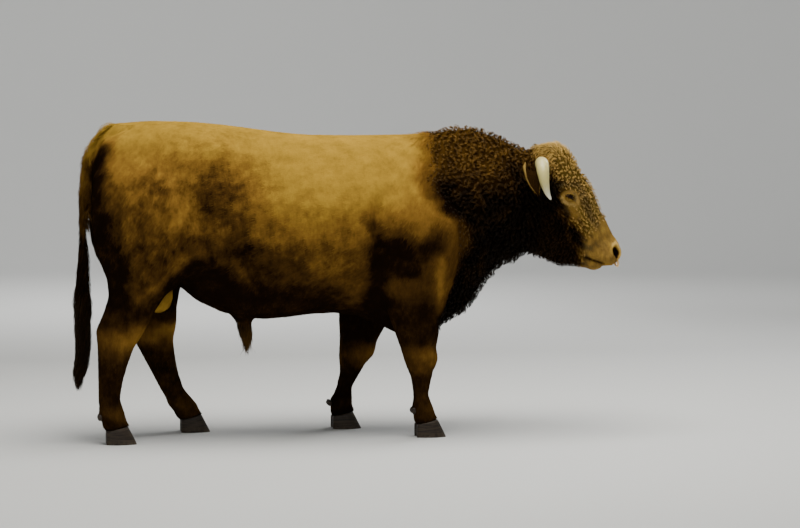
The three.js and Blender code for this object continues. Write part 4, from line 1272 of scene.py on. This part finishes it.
# the short coat
def layTufts(name, mask, shape, mapPlace, hair="shortHair", way=None, grow=None):
    seed, waver = shape["seed"], shape["waver"]
    roots, normals, zone = ground.scatter(shape["density"] * mask, seed, shape["most"])
    if grow:
        shape = dict(shape, length=shape["length"] * grow(roots))
    if way is None:
        ways = lieOf(roots, normals, seed + 40, waver)
    else:
        ways = way(roots) + waver * np.stack([drift(roots, 0.008, seed + k) for k in range(3)], 1)
        ways = unit(ways - 0.85 * (ways * normals).sum(1)[:, None] * normals)
    mesh = strandMesh(name, roots, normals, ways, zone, shape, seed, mapPlace)
    print(name, len(roots), "tufts,", len(mesh.polygons), "triangles")
    pieceFrom(name, mesh, materials[hair])
    if "sleek" in shape:  # flat hair takes most of its shading from the skin below
        own = valuesOf(mesh.vertex_normals, "vector")
        skin = np.repeat(normals, shape["steps"] * 3 + 1, 0)
        mesh.normals_split_custom_set_from_vertices(unit(mixed(own, skin, shape["sleek"])).tolist())


def within(values, low, high):
    return (values > low) & (values < high)


shortTuft = {"density": 9500, "most": 19000, "waver": 0.06, "steps": 2, "length": 0.024, "width": 0.0028,
             "lift": 0.035, "sink": 0.0010, "vary": 0.3, "flat": 0.25, "sleek": 0.78}
legTuft = {"density": 7900, "most": 19000, "seed": 24, "waver": 0.06, "steps": 2, "length": 0.014, "width": 0.0022,
           "lift": 0.08, "sink": 0.001, "vary": 0.3, "sleek": 0.6}
coatCuts = {"rump": -0.62, "barrel": -0.12}  # where one piece of the coat ends and the next begins

x, y, z = ground.middle.T
onBody = ground.part == 0
onEar = ground.part == 2
onHead = onBody * middleZone["head"]
offHead = 1 - middleZone["head"]
isScrotum = onBody * (np.abs(y) < 0.075) * within(x, -1.015, -0.845) * (z < 0.76)
isSheath = onBody * (np.abs(y) < 0.05) * within(x, -0.62, -0.44) * fade(z, 0.52, 0.56)
free = onBody * (1 - middleZone["mane"]) * offHead * (1 - middleZone["tail"]) * (isScrotum == 0)
isLeg = free * fade(z, 0.70, 0.78) * (np.abs(y) > 0.085) * ((x < -0.62) | (x > -0.15))
isTrunk = free - isLeg
for name, part, seed in (
        ("coatRump", x < coatCuts["rump"], 21),
        ("coatBarrel", (x >= coatCuts["rump"]) & (x < coatCuts["barrel"]), 22),
        ("coatShoulder", x >= coatCuts["barrel"], 23)):
    layTufts(name, isTrunk * part, dict(shortTuft, seed=seed), aroundTrunk)
layTufts("coatLegs", isLeg, legTuft, aroundLegs)
print("short coat ready")


# curls of neck, hump and head
def layCurls(name, mask, shape, mapPlace, hair="curledHair", grow=None):
    seed, gap, perCurl = shape["seed"], shape["gap"], shape["perCurl"]
    rng = np.random.default_rng(seed)
    tries, facing, zone = ground.scatter(mask * 5 / gap ** 2 / coatShare, seed + 1)
    kept = spaced(tries, gap)
    centres, facing = tries[kept], facing[kept]
    zone = {key: np.repeat(value[kept], perCurl) for key, value in zone.items()}
    size = grow(centres) if grow else np.ones(len(centres))
    lie = lieOf(centres, facing, seed + 2, shape["waver"])
    owner = np.repeat(np.arange(len(centres)), perCurl)
    aside = np.cross(facing, lie)[owner]
    lie, facing, size = lie[owner], facing[owner], size[owner]
    turn = rng.random(len(owner)) * 2 * np.pi
    far = np.sqrt(rng.random(len(owner))) * gap * shape["spread"]
    offset = lie * (far * np.cos(turn))[:, None] + aside * (far * np.sin(turn))[:, None]
    roots = centres[owner] + offset - facing * shape["sink"]
    curlPhase = (rng.random(len(centres)) * 2 * np.pi)[owner] + rng.normal(0, 0.25, len(owner))
    hand = np.where(rng.random(len(centres)) < 0.5, -1, 1)[owner]
    length = shape["length"] * size * (1 + shape["vary"] * (rng.random(len(centres)) * 2 - 1)[owner])
    length = length * (1 + 0.12 * rng.normal(0, 1, len(owner)))
    t = np.linspace(0, 1, shape["steps"] + 1)[None, :, None]
    gather = 1 - shape["gather"] * t
    path = (centres[owner] - facing * shape["sink"])[:, None] + offset[:, None] * gather
    path = path + lie[:, None] * (length[:, None, None] * t) * shape["along"]
    rise = length[:, None, None] * shape["rise"] * np.sin(t * np.pi * 0.62) + shape["sink"] * np.minimum(4 * t, 1)
    path = path + facing[:, None] * rise
    own = dict(shape, curl=shape["curl"] * size, turns=shape["turns"] * hand, phase=curlPhase, loose=0.12,
               length=shape["length"] * size)
    mesh = strandMesh(name, roots, facing, lie, zone, own, seed, mapPlace, path=path)
    print(name, len(centres), "curls,", len(mesh.polygons), "triangles")
    pieceFrom(name, mesh, materials[hair])


maneCurl = {"gap": 0.0198, "perCurl": 8, "steps": 6, "length": 0.044, "width": 0.0028, "lift": 0.3, "sink": 0.004,
            "vary": 0.3, "curl": 0.0068, "turns": 1.15, "waver": 0.6, "spread": 0.46, "gather": 0.70, "along": 0.8,
            "rise": 0.22}
pollCurl = dict(maneCurl, seed=33, gap=0.0135, perCurl=9, length=0.026, width=0.0019, curl=0.0044, turns=1.2,
                sink=0.003, rise=0.28)
cheekCurl = dict(maneCurl, seed=34, gap=0.0140, perCurl=6, steps=5, length=0.022, width=0.0020, curl=0.0040,
                 turns=1.1, sink=0.002, rise=0.17)
crownTuft = {"density": 26000, "most": 2600, "seed": 36, "waver": 0.5, "steps": 4, "length": 0.034, "width": 0.0030,
             "lift": 0.22, "sink": 0.002, "vary": 0.4, "curl": 0.003, "turns": 0.7}
faceTuft = {"density": 52000, "most": 17000, "seed": 35, "waver": 0.25, "steps": 2, "length": 0.0105,
            "width": 0.0019, "lift": 0.14, "sink": 0.0006, "vary": 0.3, "sleek": 0.3}
edgeTuft = {"density": 16000, "most": 2200, "seed": 39, "waver": 0.30, "steps": 4, "length": 0.034, "width": 0.0026,
            "lift": 0.10, "sink": 0.001, "vary": 0.4, "curl": 0.003, "turns": 0.8, "sleek": 0.7}
maneCut = 0.58  # where the hump's curls end and the neck's begin


def maneGrow(points):  # short at the edge of the mane, long on crest and neck
    edge = np.interp(points[:, 2], maneEdge["heights"], maneEdge["places"])
    return (0.42 + 0.58 * ramp(points[:, 0] - edge, -0.02, 0.16)) * (1 - 0.25 * ramp(points[:, 0], 0.80, 0.90))


isMane = onBody * ramp(middleZone["mane"], 0.1, 0.6) * offHead
for side, sign in sides.items():
    for name, part, seed in (("hump", x < maneCut, 31), ("neck", x >= maneCut, 37)):
        layCurls(f"{name}_{side}", isMane * (y * sign > 0) * part, dict(maneCurl, seed=seed + (sign < 0)), aroundTrunk,
                 grow=maneGrow)
crown = ramp(-middleZone["along"] + 0.6 * drift(ground.middle, 0.03, 36) * 0.05, -0.055, -0.025)
poll, smooth = middleZone["poll"], middleZone["smooth"]
layTufts("crownHair", onHead * crown * (poll > 0.2), crownTuft, aroundHead, hair="headHair")
layCurls("pollCurls", onHead * (1 - crown) * (poll > 0.3) * (middleZone["eyeAway"] > 0.05), pollCurl, aroundHead,
         hair="headHair")
layCurls("cheekCurls", onHead * (poll <= 0.3) * (smooth < 0.5), cheekCurl, aroundHead, hair="headHair")
isFace = (ground.part < 2) * middleZone["head"] * (smooth > 0.2) * (middleZone["bareSkin"] < 0.4)
layTufts("faceCoat", isFace, faceTuft, aroundHead, hair="faceHair")
isEdge = onBody * ramp(middleZone["maneTone"], 0.15, 0.9) * (middleZone["mane"] < 0.7) * offHead * (z > 0.8)
layTufts("maneEdgeHair", isEdge, edgeTuft, aroundTrunk)
print("curls ready")


# ears, tail and tufts
earTuft = {"density": 40000, "most": 2300, "seed": 41, "waver": 0.3, "steps": 3, "length": 0.016, "width": 0.0014,
           "lift": 0.16, "sink": 0.0006, "vary": 0.4}
tailTuft = {"density": 34000, "most": 9000, "seed": 42, "waver": 0.1, "steps": 3, "length": 0.040, "width": 0.0030,
            "lift": 0.12, "sink": 0.001, "vary": 0.4, "curl": 0.0016, "turns": 0.6, "sleek": 0.4}
dockTuft = {"density": 30000, "most": 900, "seed": 45, "waver": 0.5, "steps": 4, "length": 0.040, "width": 0.0034,
            "lift": 0.22, "sink": 0.001, "vary": 0.5, "curl": 0.004, "turns": 0.8, "sleek": 0.6}
fringeTuft = {"density": 60000, "most": 900, "seed": 46, "waver": 0.15, "steps": 4, "length": 0.062, "width": 0.0030,
              "lift": 0.10, "sink": 0.001, "vary": 0.35, "curl": 0.003, "turns": 0.6}
sheathTuft = {"density": 60000, "most": 1500, "seed": 43, "waver": 0.25, "steps": 5, "length": 0.064,
              "width": 0.0028, "lift": 0.02, "sink": 0.002, "vary": 0.4, "curl": 0.004, "turns": 0.8}
scrotumTuft = {"density": 12000, "most": 1500, "seed": 44, "waver": 0.06, "steps": 2, "length": 0.012,
               "width": 0.0012, "lift": 0.12, "sink": 0.0006, "vary": 0.4}


def earWay(roots):  # from the root of the ear to its tip
    reach = ramp(np.abs(roots[:, 1]), 0.14, 0.20)
    side = np.sign(roots[:, 1])
    return unit(np.stack([0.30 * reach - 0.30, side * (0.9 - 0.5 * reach), 0.25 - 1.15 * reach], 1))


def hanging(forward):  # hair that hangs down, leaning a little forward
    return lambda roots: np.tile((forward, 0.0, -1.0), (len(roots), 1))


def tailGrow(roots):  # longer towards the switch
    return 1 + 0.8 * fade(roots[:, 2], 0.70, 0.98)


facing = ground.normals[ground.corners[:, 0]]
isTail = onBody * middleZone["tail"] * (z > 0.66) * (facing[:, 2] > -0.45)
isDock = onBody * fade(x, -1.16, -1.12) * (np.abs(y) < 0.035) * (z > 1.30)
isFringe = isTail * ramp(facing[:, 0], 0.2, 0.6) * within(z, 1.02, 1.34)
layTufts("earHair", onEar * 1.0, earTuft, aroundHead, way=earWay)
layTufts("tailCoat", isTail, tailTuft, aroundTrunk, grow=tailGrow)
layTufts("dockHair", isDock, dockTuft, aroundTrunk)
layTufts("tailFringe", isFringe, fringeTuft, aroundTrunk, hair="longHair", way=hanging(0.55))
layTufts("sheathHair", isSheath, sheathTuft, aroundTrunk, hair="longHair", way=hanging(0.05))
layTufts("scrotumHair", isScrotum, scrotumTuft, aroundTrunk)


# tail switch
switchShape = {
    "grain": 0.006, "relaxed": 10, "reach": 0.03, "shorten": 0.05, "end": 0.224, "ragged": 0.15, "loose": 0.28,
    "density": 60000.0, "count": 2250,
    "slim": ((0.30, 0.40, 0.55, 0.63, 0.70), (0.009, 0.017, 0.016, 0.006, 0.005)),  # by height
}
switchHair = {"steps": 5, "length": 0.17, "width": 0.0036, "lift": 0.03, "sink": 0.002, "vary": 0.0, "curl": 0.0055,
              "turns": 1.2, "loose": 0.5}


def switchPaths(roots, core, rng):  # locks that hang down and close in as the switch narrows
    heights = np.linspace(core[:, 2].min() + 0.006, core[:, 2].max() - 0.006, 30)
    rings = [core[np.abs(core[:, 2] - height) < 0.010] for height in heights]
    middles = np.array([ring.mean(0)[:2] for ring in rings])
    reaches = np.array([np.linalg.norm(ring[:, :2] - ring.mean(0)[:2], axis=1).mean() for ring in rings])
    count = len(roots)
    ends = switchShape["end"] + switchShape["ragged"] * rng.random(count) ** 1.3
    length = switchHair["length"] * (0.55 + 0.7 * rng.random(count))
    length = np.clip(np.minimum(length, roots[:, 2] - ends), 0.02, None)
    t = np.linspace(0, 1, switchHair["steps"] + 1)
    z = roots[:, 2:] - length[:, None] * t
    reach = np.interp(z, heights, reaches) + 0.007 * fade(z, 0.26, 0.34) * ramp(z, 0.21, 0.29)
    away = (roots[:, :2] - np.stack([np.interp(roots[:, 2], heights, middles[:, k]) for k in range(2)], 1))
    scale = np.clip(reach / np.interp(roots[:, 2], heights, reaches)[:, None], 0, 1.25)
    scale = scale * (1 + switchShape["loose"] * np.sin(np.pi * np.minimum(t, 0.8)) * rng.random(count)[:, None])
    xy = [np.interp(z, heights, middles[:, k]) + away[:, k:k + 1] * scale for k in range(2)]
    return np.stack([xy[0], xy[1], z], 2), length


def makeSwitch():
    mesh = remeshed(nodes["tail_switch"].data.copy(), switchShape["grain"])
    relax(mesh, switchShape["relaxed"])
    points = valuesOf(mesh.vertices, "co")
    pushAlong(points, valuesOf(mesh.vertex_normals, "vector"), -np.interp(points[:, 2], *switchShape["slim"]))
    points[:, 2] += switchShape["reach"] * ramp(points[:, 2], 0.60, 0.69)
    points[:, 2] += switchShape["shorten"] * fade(points[:, 2], 0.22, 0.32)
    movePoints(mesh, points)
    markZones(mesh, points, darkZone(np.ones(len(points))))
    # the core is darkened like the hairs' roots, as painted shade inside the switch
    setValues(mesh, "tipShare", np.full(len(points), 0.3))
    pieceFrom("switchCore", mesh, materials["longHair"], ["tail_switch"])
    own = Ground(mesh, {})
    sideways = np.ones(len(own.area)) * (own.middle[:, 2] < 0.705) * (np.abs(own.normals[own.corners[:, 0], 2]) < 0.7)
    roots, normals, _ = own.scatter(switchShape["density"] * sideways, 51, switchShape["count"])
    paths, length = switchPaths(roots, points, np.random.default_rng(54))
    ways = unit(paths[:, -1] - paths[:, 0])
    zone = darkZone(0.92 + 0.08 * drift(roots, 0.03, 52))
    shape = dict(switchHair, length=length, curl=switchHair["curl"] * np.clip(length / 0.12, 0.3, 1))
    strands = strandMesh("switchHair", roots, normals, ways, zone, shape, 53, aroundTrunk, path=paths)
    print("switchHair", len(roots), "locks,", len(strands.polygons), "triangles")
    pieceFrom("switchHair", strands, materials["longHair"])


makeSwitch()
print("tail and tufts ready")


# horns
horn = {
    "line": [  # x, y, z, radius
        (0.908, 0.088, 1.294, 0.0345), (0.896, 0.135, 1.297, 0.0350), (0.887, 0.183, 1.290, 0.0342),
        (0.882, 0.220, 1.257, 0.0312), (0.885, 0.236, 1.210, 0.0240), (0.897, 0.236, 1.165, 0.0150),
        (0.914, 0.230, 1.135, 0.0068), (0.9195, 0.2275, 1.1265, 0.0015)],
    "steps": 110, "ring": 40, "widthWay": np.array((1.0, 0.0, 0.15)), "flat": 0.93, "grooves": 16, "grooveDepth": 0.018,
    "base": (0.36, 0.27, 0.10, 1), "body": (0.58, 0.50, 0.19, 1), "tip": (0.90, 0.88, 0.72, 1),
    "stain": (0.36, 0.27, 0.14, 1),
}


def hornMaterial():
    material, tree, shader = newMaterial("horn", **{
        "Roughness": 0.34, "Specular IOR Level": 0.5, "Subsurface Weight": 0.06,
        "Subsurface Radius": (0.01, 0.006, 0.003)})
    share = readValue(tree, "tipShare")
    place = readValue(tree, "rootPlace", vector=True)
    streaks = noiseValue(tree, stretched(tree, place, (70.0, 70.0, 14.0)), 1.0, 3.0, 0.6)
    low = blendNode(tree, rampValue(tree, share, 0.05, 0.34), horn["base"], horn["body"])
    tone = blendNode(tree, rampValue(tree, share, 0.55, 0.9), low, horn["tip"])
    stain = mathNode(tree, "MULTIPLY", rampValue(tree, streaks, 0.50, 0.72), 0.40)
    tree.links.new(blendNode(tree, stain, tone, horn["stain"]), shader.inputs["Base Color"])
    addRelief(tree, shader, streaks, 0.25)
    return material


def makeHorns():
    material = hornMaterial()

    def outline(share, sizes, turn):
        wave = np.sin(share * horn["grooves"] * 2 * np.pi) * horn["grooveDepth"] * fade(share, 0.15, 0.62)
        radius = sizes[0] * (1 + wave)
        return radius * np.cos(turn) * horn["flat"], radius * np.sin(turn)
    for side, sign in sides.items():
        points, faces = sweep(horn["line"], horn["steps"], horn["ring"], horn["widthWay"], outline)
        mesh = meshFrom("horn_" + side, points * (1, sign, 1), facesOn(side, faces))
        setValues(mesh, "tipShare", np.repeat(np.linspace(0, 1, horn["steps"]), horn["ring"]))
        setValues(mesh, "rootPlace", points)
        pieceFrom("horn_" + side + "_shape", mesh, material, ["horn_" + side])


makeHorns()


# eyes
eye = {"rings": 48, "turns": 72, "iris": 0.0145, "pupilLong": 0.0066, "pupilHigh": 0.0030, "bulge": 0.0012,
       "white": (0.07, 0.04, 0.022, 1), "brown": (0.014, 0.006, 0.003, 1), "pupil": (0.003, 0.003, 0.004, 1)}
lashes = {"count": 46, "from": 0.12, "to": 0.88, "steps": 4, "length": 0.017, "width": 0.0009, "lift": 0.05,
          "sink": 0.0, "vary": 0.25}


def eyeMaterial():
    material, tree, shader = newMaterial("eye", **{"Roughness": 0.3, "Specular IOR Level": 0.06, "Coat Weight": 0.05,
                                                   "Coat Roughness": 0.03})
    iris = blendNode(tree, readValue(tree, "irisShare"), eye["white"], eye["brown"])
    tree.links.new(blendNode(tree, readValue(tree, "pupilShare"), iris, eye["pupil"]), shader.inputs["Base Color"])
    return material


def makeEyes():
    material = eyeMaterial()
    front, up, out = eyeAxes()
    gaze = unit(out + 0.10 * front - 0.04 * up)
    side1 = unit(front - (front @ gaze) * gaze)
    side2 = np.cross(gaze, side1)
    for side, sign in sides.items():
        turn = circleTurns(eye["turns"])
        rise = np.linspace(0.02, np.pi - 0.02, eye["rings"])
        a = np.sin(rise)[:, None] * np.cos(turn)
        b = np.sin(rise)[:, None] * np.sin(turn)
        c = np.cos(rise)[:, None] * np.ones(len(turn))
        far = np.hypot(a, b) * eyeFrame["radius"]
        radius = eyeFrame["radius"] + eye["bulge"] * fade(far, 0.004, 0.013) * (c > 0)
        local = np.stack([a * radius, b * radius, c * radius], 2).reshape(-1, 3)
        points = eyeFrame["centre"] + local[:, :1] * side1 + local[:, 1:2] * side2 + local[:, 2:] * gaze
        mesh = meshFrom("eye_" + side, points * (1, sign, 1), tubeFaces(eye["rings"], eye["turns"]))
        if sign > 0:
            mesh.flip_normals()
        ahead = local[:, 2] > 0
        reach = np.hypot(local[:, 0], local[:, 1])
        setValues(mesh, "irisShare", ahead * fade(reach, eye["iris"] - 0.001, eye["iris"] + 0.0012))
        slit = np.sqrt((local[:, 0] / eye["pupilLong"]) ** 2 + (local[:, 1] / eye["pupilHigh"]) ** 2)
        setValues(mesh, "pupilShare", ahead * fade(slit, 0.85, 1.1))
        pieceFrom("eye_" + side + "_ball", mesh, material, ["eye_" + side])


def makeLashes():  # they stand along the upper lid
    front, up, out = eyeAxes()
    rng = np.random.default_rng(61)
    turn = np.pi * (1 - np.linspace(lashes["from"], lashes["to"], lashes["count"]))
    roots, ways, facing = [], [], []
    for sign in sides.values():
        flip = np.array((1, sign, 1))
        a = lids["long"] * np.cos(turn)
        b = lids["upper"] * np.sin(turn) + 0.0012
        w = np.sqrt(np.maximum((eyeFrame["radius"] + 0.003) ** 2 - a ** 2 - b ** 2, 0))
        spots = eyeFrame["centre"] + np.outer(a, front) + np.outer(b, up) + np.outer(w, out)
        way = np.outer(a / lids["long"] * 0.5 + 0.15 * rng.normal(0, 1, len(a)), front) + out - 0.45 * up
        roots.append(spots * flip)
        ways.append(unit(way) * flip)
        facing.append(np.tile(unit(up + 0.2 * out), (len(a), 1)) * flip)
    roots, ways, facing = (np.concatenate(v) for v in (roots, ways, facing))
    mesh = strandMesh("lashes", roots, facing, ways, darkZone(np.ones(len(roots))), lashes, 62, aroundHead)
    pieceFrom("lashes", mesh, materials["longHair"])


makeEyes()
makeLashes()
print("horns and eyes ready")


# claws
claw = {"grain": 0.0035, "relaxed": 5, "ringSize": 0.0075, "ringDepth": 0.00055,
        "dark": (0.015, 0.010, 0.007, 1), "light": (0.042, 0.029, 0.018, 1), "mud": (0.08, 0.058, 0.036, 1)}


def clawMaterial():
    material, tree, shader = newMaterial("hoof", **{"Roughness": 0.5, "Specular IOR Level": 0.25})
    place = readValue(tree, "rootPlace", vector=True)
    rings = noiseValue(tree, stretched(tree, place, (12.0, 12.0, 130.0)), 1.0, 3.0, 0.6)
    height = makeNode(tree, "ShaderNodeSeparateXYZ", {0: place}).outputs[2]
    tone = blendNode(tree, rampValue(tree, rings, 0.35, 0.65), claw["dark"], claw["light"])
    dust = mathNode(tree, "MULTIPLY", mathNode(tree, "SUBTRACT", 1.0, rampValue(tree, height, 0.0, 0.03)), 0.6)
    patches = mathNode(tree, "MULTIPLY", dust, rampValue(tree, noiseValue(tree, place, 60.0, 3.0), 0.35, 0.6))
    tree.links.new(blendNode(tree, patches, tone, claw["mud"]), shader.inputs["Base Color"])
    addRelief(tree, shader, rings, 0.4)
    return material


def makeClaws():
    material = clawMaterial()
    for name in [n for n in nodes if n.startswith(("claw", "dewclaw"))]:
        mesh = remeshed(nodes[name].data.copy(), claw["grain"])
        relax(mesh, claw["relaxed"])
        points = valuesOf(mesh.vertices, "co")
        normals = valuesOf(mesh.vertex_normals, "vector")
        slope = points[:, 2] + 0.10 * points[:, 0]
        wave = np.sin(slope / claw["ringSize"] * 2 * np.pi + drift(points, 0.03, 71)) * claw["ringDepth"]
        pushAlong(points, normals, wave * (points[:, 2] > 0.008) - claw["ringDepth"])
        if name.startswith("claw"):
            points[:, 2] = np.where(points[:, 2] < 0.003, 0.0, points[:, 2])
        movePoints(mesh, points)
        setValues(mesh, "rootPlace", points)
        pieceFrom(name + "_shape", mesh, material, [name])


makeClaws()


# nose ring
noseRing = {"centre": (1.306, 0.0, 0.826), "radius": 0.034, "tube": 0.0049, "lean": 0.25, "steps": 96, "ring": 20,
            "knuckle": 0.0013, "hingeAt": 2.0, "seam": 0.0006, "seamAt": 4.3,
            "metal": (0.62, 0.36, 0.13, 1), "worn": (0.80, 0.56, 0.28, 1)}


def makeNoseRing():
    turn = circleTurns(noseRing["steps"])
    leanSin, leanCos = math.sin(noseRing["lean"]), math.cos(noseRing["lean"])
    away = np.stack([-leanSin * np.cos(turn), np.sin(turn), leanCos * np.cos(turn)], 1)
    middle = np.array(noseRing["centre"]) + away * noseRing["radius"]
    front = np.array((leanCos, 0, leanSin))
    # the knuckle of the hinge sits low on the left, the seam of the catch on the right
    hinge = bell(turn - noseRing["hingeAt"], 0.09)
    seam = bell(turn - noseRing["seamAt"], 0.025)
    tube = noseRing["tube"] + noseRing["knuckle"] * hinge - noseRing["seam"] * seam
    around = circleTurns(noseRing["ring"])
    points = (middle[:, None] + (tube[:, None] * np.cos(around))[:, :, None] * away[:, None]
              + (tube[:, None] * np.sin(around))[:, :, None] * front)
    faces = []
    for i, k in itertools.product(range(noseRing["steps"]), range(noseRing["ring"])):
        j, m = (i + 1) % noseRing["steps"], (k + 1) % noseRing["ring"]
        faces.append(tuple(a * noseRing["ring"] + b for a, b in ((i, k), (j, k), (j, m), (i, m))))
    mesh = meshFrom("noseRing", points.reshape(-1, 3), faces)
    material, tree, shader = newMaterial("brass", **{"Metallic": 1.0, "Roughness": 0.28})
    setValues(mesh, "rootPlace", points.reshape(-1, 3))
    wear = noiseValue(tree, readValue(tree, "rootPlace", vector=True), 120.0, 4.0, 0.65)
    tree.links.new(blendNode(tree, rampValue(tree, wear, 0.35, 0.7), noseRing["metal"], noseRing["worn"]),
                   shader.inputs["Base Color"])
    rough = makeNode(tree, "ShaderNodeMapRange", {"Value": wear, "To Min": 0.22, "To Max": 0.42}).outputs["Result"]
    tree.links.new(rough, shader.inputs["Roughness"])
    pieceFrom("noseRing", mesh, material, ["nose_ring"])


makeNoseRing()
print("claws and ring ready")


# floor: a flat disc whose edge curves up
floorShape = {"inner": 0.5, "flat": 14.0, "bend": 7.0, "turns": 96, "rings": 8, "rises": 16,
              "colour": (0.62, 0.62, 0.60, 1)}


def makeFloor():
    turn = circleTurns(floorShape["turns"])
    rise = np.linspace(0, np.pi / 2, floorShape["rises"])[1:]
    flatRadii = np.linspace(floorShape["inner"], floorShape["flat"], floorShape["rings"])
    radii = np.concatenate([flatRadii, floorShape["flat"] + floorShape["bend"] * np.sin(rise)])
    heights = np.concatenate([0 * flatRadii, floorShape["bend"] * (1 - np.cos(rise))])
    points = [np.stack([r * np.cos(turn), r * np.sin(turn), 0 * turn + h], 1) for r, h in zip(radii, heights)]
    faces = [quad[::-1] for quad in ringFaces(len(radii), len(turn))]
    mesh = meshFrom("floor", np.concatenate(points), [tuple(range(len(turn)))] + faces)
    mesh.shade_smooth()
    material, _, _ = newMaterial("floor", **{"Base Color": floorShape["colour"], "Roughness": 0.9})
    mesh.materials.append(material)
    floor = bpy.data.objects.new("floor", mesh)
    bpy.context.scene.collection.objects.link(floor)


makeFloor()
